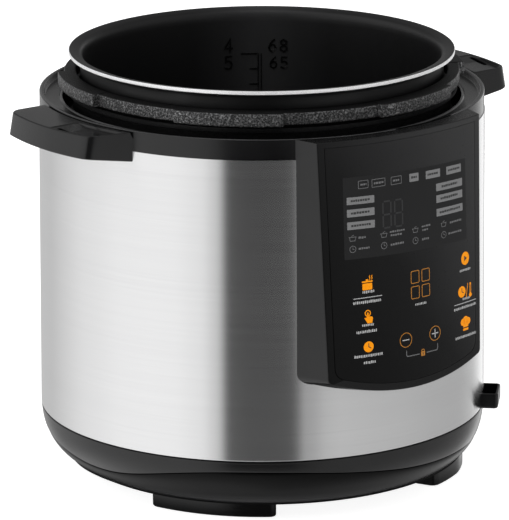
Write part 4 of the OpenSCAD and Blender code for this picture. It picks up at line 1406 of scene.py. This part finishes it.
def make_prints():
    def d(x):
        return -0.019 * (x + 46)
    win = Print("display_area", "window", 0.035)
    win.rect(-46.5, 47.2, 172.0, 222.2, 0.5)
    win.shapes = [[(x, z + d(x)) for x, z in s] for s in win.shapes]
    win.make()

    grey = Print("label_blocks", "grey", 0.05, 0.035)
    line = Print("label_frames", "line", 0.05, 0.035)
    dark = Print("label_dashes", "dark", 0.05, 0.085)
    soft = Print("menu_dashes", "line", 0.05, 0.035)
    faint = Print("digit_segments", "faint", 0.04, 0.035)

    # top row: three outlined boxes, three filled ones
    for i, (x0, x1) in enumerate(((-36.6, -29.8), (-27.5, -18.1), (-14.1, -6.3))):
        z = 217.2 + d((x0 + x1) / 2)
        line.frame(x0, x1, z - 2.5, z + 2.5, 0.34, 0.5)
        soft.dashes(x0 + 1.5, x1 - 1.3, z, 1.1, 20 + i)
    for i, (x0, x1) in enumerate(((-0.4, 6.7), (12.5, 26.5 - 2.2), (32.0 - 2.2, 45.6 - 2.6))):
        z = 217.3 + d((x0 + x1) / 2)
        grey.rect(x0, x1, z - 2.5, z + 2.5, 0.35, -0.019 * (x1 - x0))
        dark.dashes(x0 + 1.4, x1 - 1.4, z, 1.2, 30 + i)
    # side columns
    for i, (z0, z1) in enumerate(((205.5, 210.0), (197.9, 202.6), (190.2, 194.9))):
        x0, x1 = -44.3, -26.0
        z0, z1 = z0 + d(x0), z1 + d(x0)
        grey.rect(x0, x1, z0, z1, 0.35, -0.019 * (x1 - x0))
        dark.dashes(x0 + 2.6, x1 - 2.6, (z0 + z1) / 2 - 0.15, 1.2, 40 + i)
    for i, (z0, z1) in enumerate(((205.9, 210.6), (198.7, 203.4), (190.3, 195.0))):
        x0, x1 = 20.8, 43.9
        z0, z1 = z0 + d(x0), z1 + d(x0)
        grey.rect(x0, x1, z0, z1, 0.35, -0.019 * (x1 - x0))
        dark.dashes(x0 + 4.6 - i, x1 - 4.6 + i, (z0 + z1) / 2 - 0.2, 1.2, 50 + i)
    # two unlit seven-segment digits
    for cx in (-17.3, -8.9):
        w, z0, z1 = 5.6, 188.9 + d(cx), 205.2 + d(cx)
        zm = (z0 + z1) / 2
        for a, b in (((-w / 2, z0), (w / 2, z0)), ((-w / 2, zm), (w / 2, zm)), ((-w / 2, z1), (w / 2, z1))):
            faint.line([(cx + a[0] + 0.9, a[1]), (cx + b[0] - 0.9, b[1])], 1.0)
        for sx in (-w / 2, w / 2):
            faint.line([(cx + sx, z0 + 1.0), (cx + sx, zm - 1.0)], 1.0)
            faint.line([(cx + sx, zm + 1.0), (cx + sx, z1 - 1.0)], 1.0)
    # small pictures and dashes in two rows
    rows = ((184.9, ((-41.0, -37.2, -31.5), (-19.8, -15.6, -4.6), (3.4, 8.4, 15.6), (26.6, 32.0, 42.4))),
            (178.2, ((-41.0, -37.2, -30.0), (-19.8, -15.2, -5.6), (3.4, 8.6, 14.0), (26.6, 30.6, 42.6))))
    for r, (zr, cols) in enumerate(rows):
        for c, (xi, x0, x1) in enumerate(cols):
            z = zr + d(xi)
            if r == 0:
                # a bowl with a lid line
                soft.line([(xi - 2.1, z + 0.5), (xi - 1.5, z - 1.6), (xi + 1.5, z - 1.6), (xi + 2.1, z + 0.5)], 0.36)
                soft.line([(xi - 2.3, z + 0.7), (xi + 2.3, z + 0.7)], 0.36)
                soft.line([(xi - 0.7, z + 1.3), (xi + 0.7, z + 1.9)], 0.36)
            else:
                soft.ring(xi, z, 2.0, 0.36, 24)
                soft.line([(xi, z + 1.2), (xi, z), (xi + 0.9, z - 0.2)], 0.34)
            zz = zr + d((x0 + x1) / 2)
            if r == 0 and c in (1, 2):
                soft.dashes(x0, x1, zz + 1.2, 1.0, 60 + c)
                soft.dashes(x0 + 0.5, x1 - 1.5, zz - 1.0, 1.0, 64 + c)
            else:
                soft.dashes(x0, x1, zz, 1.1, 70 + 4 * r + c)
    for p in (grey, line, dark, soft, faint):
        p.make()

    white = Print("key_dashes", "white")
    lit = Print("key_pictures", "orange")
    cut = Print("key_details", "dark", 0.05, 0.07)
    thin = Print("key_rings", "ring")
    mark = Print("key_lines", "line")

    # left column: pot with steam, hand, clock
    cx, cz = -32.0, 156.3
    lit.rect(cx - 3.3, cx + 3.3, cz - 4.3, cz - 0.2, 0.7)
    lit.rect(cx - 3.6, cx + 3.6, cz + 0.35, cz + 1.3, 0.3)
    lit.rect(cx - 1.0, cx + 0.6, cz + 1.1, cz + 2.3, 0.25)
    for k in (1.4, 2.9):
        lit.line([(cx + k, cz + 1.9), (cx + k + 0.45, cz + 2.8), (cx + k, cz + 3.5), (cx + k + 0.4, cz + 4.4)], 0.45)
    white.dashes(-35.3, -27.4, 150.9, 1.9, 1)
    white.rect(-41.4, -22.0, 147.15, 147.6, 0.0)
    white.dashes(-41.6, -22.2, 144.7, 2.0, 2)

    cx, cz = -31.6, 135.5
    lit.ring(cx - 0.5, cz + 2.1, 1.75, 0.6, 26)
    lit.rect(cx - 1.0, cx - 0.05, cz - 1.4, cz + 2.6, 0.45)
    lit.poly([(cx - 2.9, cz - 0.6), (cx - 2.2, cz - 1.1), (cx - 1.4, cz - 0.4), (cx - 0.4, cz + 0.2), (cx + 2.5, cz - 0.3), (cx + 2.9, cz - 1.3),
              (cx + 2.3, cz - 4.2), (cx - 0.8, cz - 4.2)])
    white.dashes(-36.0, -27.6, 130.4, 1.7, 3)
    white.dashes(-39.9, -25.3, 126.4, 2.0, 4)

    cx, cz = -32.0, 116.8
    lit.disc(cx, cz, 3.35)
    cut.line([(cx, cz + 2.0), (cx, cz), (cx + 1.5, cz - 0.9)], 0.5)
    white.dashes(-41.6, -21.8, 111.4, 2.0, 5)
    white.dashes(-35.5, -26.6, 107.1, 1.9, 6)

    # middle: four outlined squares, minus and plus
    for x0, x1 in ((-0.8, 5.8), (7.6, 14.1)):
        for z0, z1 in ((141.3, 149.2), (150.9, 158.8)):
            thin.frame(x0, x1, z0, z1, 0.46, 1.0)
    white.dashes(2.3, 11.4, 137.6, 1.7, 7)
    for cx, cz in ((-5.4, 116.9), (17.6, 117.1)):
        thin.ring(cx, cz, 4.4, 0.42, 44)
        white.rect(cx - 2.6, cx + 2.6, cz - 0.32, cz + 0.32, 0.0)
    white.rect(17.6 - 0.34, 17.6 + 0.34, 117.1 + 0.5, 117.1 + 2.7, 0.0)
    white.rect(17.6 - 0.34, 17.6 + 0.34, 117.1 - 2.7, 117.1 - 0.5, 0.0)
    mark.line([(-5.1, 110.0), (-5.1, 107.2), (-4.4, 106.5), (4.6, 106.5)], 0.6)
    mark.line([(10.6, 106.5), (18.8, 106.5), (19.5, 107.2), (19.5, 110.4)], 0.6)
    thin.ring(7.6, 107.9, 1.1, 0.45, 20, 0, 180)
    thin.rect(6.1, 9.1, 104.9, 107.8, 0.3)
    cut.rect(7.35, 7.85, 105.6, 107.0, 0.1)

    # right column: start, clock with thermometer, hat
    cx, cz = 45.6, 158.5
    lit.disc(cx, cz - 0.2, 3.7, 4.1, 36)
    cut.poly([(cx - 1.0, cz - 1.9), (cx + 1.5, cz - 0.2), (cx - 1.0, cz + 1.5)])
    white.dashes(40.4, 50.6, 151.2, 1.8, 8)
    cx, cz = 41.9, 138.0
    lit.disc(cx, cz, 3.4, 3.5, 32)
    cut.line([(cx, cz + 2.1), (cx, cz), (cx + 1.5, cz - 0.8)], 0.5)
    lit.line([(46.0, 133.9), (47.6, 142.3)], 0.42)
    lit.disc(50.0, 134.6, 1.35, 1.35, 20)
    lit.rect(49.35, 50.65, 135.4, 142.4, 0.6)
    cut.rect(49.8, 50.2, 136.2, 141.0, 0.0)
    white.dashes(42.6, 49.4, 131.6 + 1.6, 1.7, 9)
    white.rect(34.6, 56.0, 130.5, 130.95, 0.0)
    white.dashes(34.6, 56.0, 128.0, 1.9, 10)
    cx, cz = 44.9, 117.5
    lit.disc(cx - 2.5, cz + 1.3, 2.1, 2.2, 24)
    lit.disc(cx + 2.5, cz + 1.3, 2.1, 2.2, 24)
    lit.disc(cx, cz + 2.1, 2.6, 2.6, 26)
    lit.rect(cx - 2.4, cx + 2.4, cz - 2.1, cz + 1.6, 0.2)
    lit.rect(cx - 2.4, cx + 2.4, cz - 4.2, cz - 2.8, 0.25)
    white.dashes(35.4, 55.4, 109.8, 2.0, 11)
    for p in (white, lit, cut, thin, mark):
        p.make()


make_prints()


# ------------------------------------------------------------------ springs: coils with closed ends
def make_spring(node, name, wire, turns):
    lo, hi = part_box(node)
    cx, cy = (lo.x + hi.x) / 2 / MM, (lo.y + hi.y) / 2 / MM
    r = (hi.x - lo.x) / 2 / MM - wire
    z0, z1 = lo.z / MM + wire, hi.z / MM - wire
    dead = 0.8
    low, high = z0 + dead * 2 * wire * 1.04, z1 - dead * 2 * wire * 1.04
    per = 40
    steps = int(turns * per)
    path = []
    for i in range(steps + 1):
        t = i / per
        if t < dead:
            z = z0 + (low - z0) * t / dead
        elif t > turns - dead:
            z = high + (z1 - high) * (t - turns + dead) / dead
        else:
            z = low + (high - low) * (t - dead) / (turns - 2 * dead)
        a = 2 * math.pi * t
        path.append(Vector((cx + r * math.cos(a), cy + r * math.sin(a), z)))
    rings = []
    for i, p in enumerate(path):
        along = (path[min(i + 1, steps)] - path[max(i - 1, 0)]).normalized()
        out = Vector((p.x - cx, p.y - cy, 0)).normalized()
        up = along.cross(out).normalized()
        # the cut ends are a little rounded
        k = 0.8 if i in (0, steps) else 1.0
        rings.append([tuple(p + (out * math.cos(q) + up * math.sin(q)) * wire * k) for q in (2 * math.pi * j / 10 for j in range(10))])
    verts, faces = loft(rings, cap0=True, cap1=True)
    ob = piece(name, verts, faces, "spring", body=None, sharp=60, weighted=False)
    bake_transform(ob)
    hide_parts(node)


make_spring("sensor_spring", "sensor_coil", 0.6, 5)
make_spring("plunger_spring", "plunger_coil", 0.35, 4)


# ------------------------------------------------------------------ cover, inner parts: CAD shapes kept, finished materials
KEEP = {
    "base_cover": "cover", "base_screws": "screw", "handle_screws": "screw", "inlet_pins": "brass", "outer_pot": "pot_metal",
    "trough_seal": "silicone", "heating_plate": "alu", "heating_element": "element", "plate_screws": "screw", "sensor_cap": "alu",
    "sensor_guide": "cover", "switch_bracket": "sheet", "pressure_switch": "parts", "switch_plunger": "cover",
    "thermal_fuse": "silicone", "heat_shield": "sheet", "support_legs": "sheet", "leg_screws": "screw",
    "control_board": "board", "board_screws": "screw", "display_module": "lens", "touch_springs": "spring", "buzzer": "parts",
    "power_board": "board", "power_components": "parts", "power_board_posts": "cover", "wiring_loom": "wire",
}
for node, mat in KEEP.items():
    ob = NODES[node]
    for s in ob.material_slots:
        s.material = M[mat]


# ------------------------------------------------------------------ floor and light
def make_floor():
    bm = bmesh.new()
    bmesh.ops.create_grid(bm, x_segments=8, y_segments=8, size=12)
    me = bpy.data.meshes.new("floor")
    bm.to_mesh(me)
    bm.free()
    ob = bpy.data.objects.new("floor", me)
    scene.collection.objects.link(ob)
    m = Mat("floor_sweep").set(rough=0.8, emit=0.9, glow=(1, 1, 1), spec=0.0)
    v = m.coord()
    m.color_from(m.noise(v, 3.0, 2, 0.5), (0.86, 0.86, 0.86), (0.88, 0.88, 0.88))
    me.materials.append(m.m)
    ob.visible_glossy = False


# the room round the object: light level by direction, in degrees from the camera, and how far it fades above the horizon
LOW = [(-180, 0.52), (-140, 0.528), (-125, 0.635), (-107, 0.754), (-93, 0.792), (-80, 0.846), (-60, 0.861), (-45, 0.849),
       (-36, 0.786), (-30, 0.744), (-26, 0.598), (-23, 0.559), (-20.5, 0.318), (-18, 0.009), (-8, 0.007), (1, 0.014), (10, 0.025), (15, 0.035),
       (18.5, 0.122), (21, 0.311), (27, 0.356), (32, 0.453), (40, 0.493), (97, 0.401), (125, 0.397), (140, 0.5), (160, 1.0),
       (165.5, 0.95), (168.5, 0.2), (175, 0.2), (178.5, 0.42), (180, 0.52)]


def fade(a):
    return 1.0 if abs(a) < 105 else max(0.22, 1.0 - (abs(a) - 105) / 55)


HIGH = [(a, (0.7 if abs(a) > 163 else v) * fade(a)) for a, v in LOW]
DOWN = [(-180, .8), (-140, .9), (-100, .95), (-60, .95), (-36, .88), (-20, .74), (0, .6), (20, .5), (40, .46), (70, .5), (110, .7), (150, .8), (180, .8)]


def make_world():
    w = bpy.data.worlds.new("studio")
    scene.world = w
    w.use_nodes = True
    t = w.node_tree
    t.nodes.clear()

    def node(kind, **kw):
        n = t.nodes.new("ShaderNode" + kind)
        for k, v in kw.items():
            setattr(n, k, v)
        return n

    def calc(op, a, b=None, c=None):
        n = node("Math", operation=op)
        for i, x in enumerate((a, b, c)):
            if x is None:
                continue
            if isinstance(x, (int, float)):
                n.inputs[i].default_value = x
            else:
                t.links.new(x, n.inputs[i])
        return n.outputs[0]
    co = node("TexCoord")
    sep = node("SeparateXYZ")
    t.links.new(co.outputs["Generated"], sep.inputs[0])
    x, y, z = sep.outputs
    az = calc("ARCTAN2", x, calc("MULTIPLY", y, -1.0))
    rel = calc("ADD", az, math.radians(36.6))
    turn = calc("FRACT", calc("ADD", calc("DIVIDE", rel, 2 * math.pi), 0.5))   # 0..1 for -180..180

    def ramp(table, gain):
        n = node("ValToRGB")
        e = n.color_ramp.elements
        tab = sorted(table)
        while len(e) < len(tab):
            e.new(0.5)
        for s, (a, v) in zip(e, tab):
            s.position = (a + 180) / 360
            s.color = (v * gain, v * gain, v * gain, 1)
        t.links.new(turn, n.inputs["Fac"])
        return n.outputs["Color"]
    low = ramp(LOW, 1.0)
    high = ramp(HIGH, 1.0)
    el = node("MapRange", interpolation_type="SMOOTHSTEP")
    for k, v in zip(("From Min", "From Max", "To Min", "To Max"), (0.02, 0.30, 0.0, 1.0)):
        el.inputs[k].default_value = v
    t.links.new(z, el.inputs["Value"])
    mix = node("Mix", data_type="RGBA")
    t.links.new(el.outputs["Result"], mix.inputs["Factor"])
    t.links.new(low, mix.inputs["A"])
    t.links.new(high, mix.inputs["B"])
    # steep rays looking down see the bright floor
    down = ramp(DOWN, 1.0)
    dn = node("MapRange", interpolation_type="SMOOTHSTEP")
    for k, v in zip(("From Min", "From Max", "To Min", "To Max"), (-0.70, -0.46, 1.0, 0.0)):
        dn.inputs[k].default_value = v
    t.links.new(z, dn.inputs["Value"])
    mix2 = node("Mix", data_type="RGBA")
    t.links.new(dn.outputs["Result"], mix2.inputs["Factor"])
    t.links.new(mix.outputs["Result"], mix2.inputs["A"])
    t.links.new(down, mix2.inputs["B"])
    bg = node("Background")
    bg.inputs["Strength"].default_value = 1.107
    t.links.new(mix2.outputs["Result"], bg.inputs["Color"])
    white = node("Background")
    white.inputs["Color"].default_value = (1, 1, 1, 1)
    path = node("LightPath")
    sh = node("MixShader")
    t.links.new(path.outputs["Is Camera Ray"], sh.inputs["Fac"])
    t.links.new(bg.outputs[0], sh.inputs[1])
    t.links.new(white.outputs[0], sh.inputs[2])
    out = node("OutputWorld")
    t.links.new(sh.outputs[0], out.inputs["Surface"])


def make_shade():
    """A dark patch under the object, seen only in reflections: the floor there gets no light."""
    verts, faces = [(0, 0, 0.0)], []
    n = 96
    radii = [0.06, 0.1, 0.112, 0.124, 0.136, 0.15, 0.17]
    for r in radii:
        verts += [(r * math.sin(2 * math.pi * i / n), -r * math.cos(2 * math.pi * i / n), 0.0) for i in range(n)]
    for i in range(n):
        faces.append((0, 1 + i, 1 + (i + 1) % n))
        for k in range(len(radii) - 1):
            a, b = 1 + k * n, 1 + (k + 1) * n
            j = (i + 1) % n
            faces.append((a + i, b + i, b + j, a + j))
    me = bpy.data.meshes.new("floor_shade")
    me.from_pydata(verts, [], faces)
    ob = bpy.data.objects.new("floor_shade", me)
    scene.collection.objects.link(ob)
    ob.location = (0, 0, 0.0004)
    m = bpy.data.materials.new("floor_shade")
    m.use_nodes = True
    t = m.node_tree
    t.nodes.clear()
    co = t.nodes.new("ShaderNodeTexCoord")
    ln = t.nodes.new("ShaderNodeVectorMath")
    ln.operation = "LENGTH"
    t.links.new(co.outputs["Object"], ln.inputs[0])
    mr = t.nodes.new("ShaderNodeMapRange")
    mr.interpolation_type = "SMOOTHSTEP"
    for k, v in zip(("From Min", "From Max", "To Min", "To Max"), (0.110, 0.146, 0.97, 0.0)):
        mr.inputs[k].default_value = v
    t.links.new(ln.outputs["Value"], mr.inputs["Value"])
    tr = t.nodes.new("ShaderNodeBsdfTransparent")
    em = t.nodes.new("ShaderNodeEmission")
    em.inputs["Color"].default_value = (0.02, 0.02, 0.02, 1)
    mx = t.nodes.new("ShaderNodeMixShader")
    t.links.new(mr.outputs["Result"], mx.inputs["Fac"])
    t.links.new(tr.outputs[0], mx.inputs[1])
    t.links.new(em.outputs[0], mx.inputs[2])
    out = t.nodes.new("ShaderNodeOutputMaterial")
    t.links.new(mx.outputs[0], out.inputs["Surface"])
    me.materials.append(m)
    ob.visible_camera = False
    ob.visible_diffuse = False
    ob.visible_shadow = False
    ob.visible_transmission = False


def make_light():
    li = bpy.data.lights.new("overhead", "AREA")
    li.shape = "DISK"
    li.size = 2.4
    li.energy = 26
    ob = bpy.data.objects.new("overhead", li)
    scene.collection.objects.link(ob)
    ob.location = (-0.5, -0.5, 2.8)
    ob.rotation_mode = "QUATERNION"
    ob.rotation_quaternion = (Vector((0, 0, 0.1)) - ob.location).to_track_quat("-Z", "Y")
    ob.visible_glossy = False


make_floor()
make_shade()
make_world()
make_light()
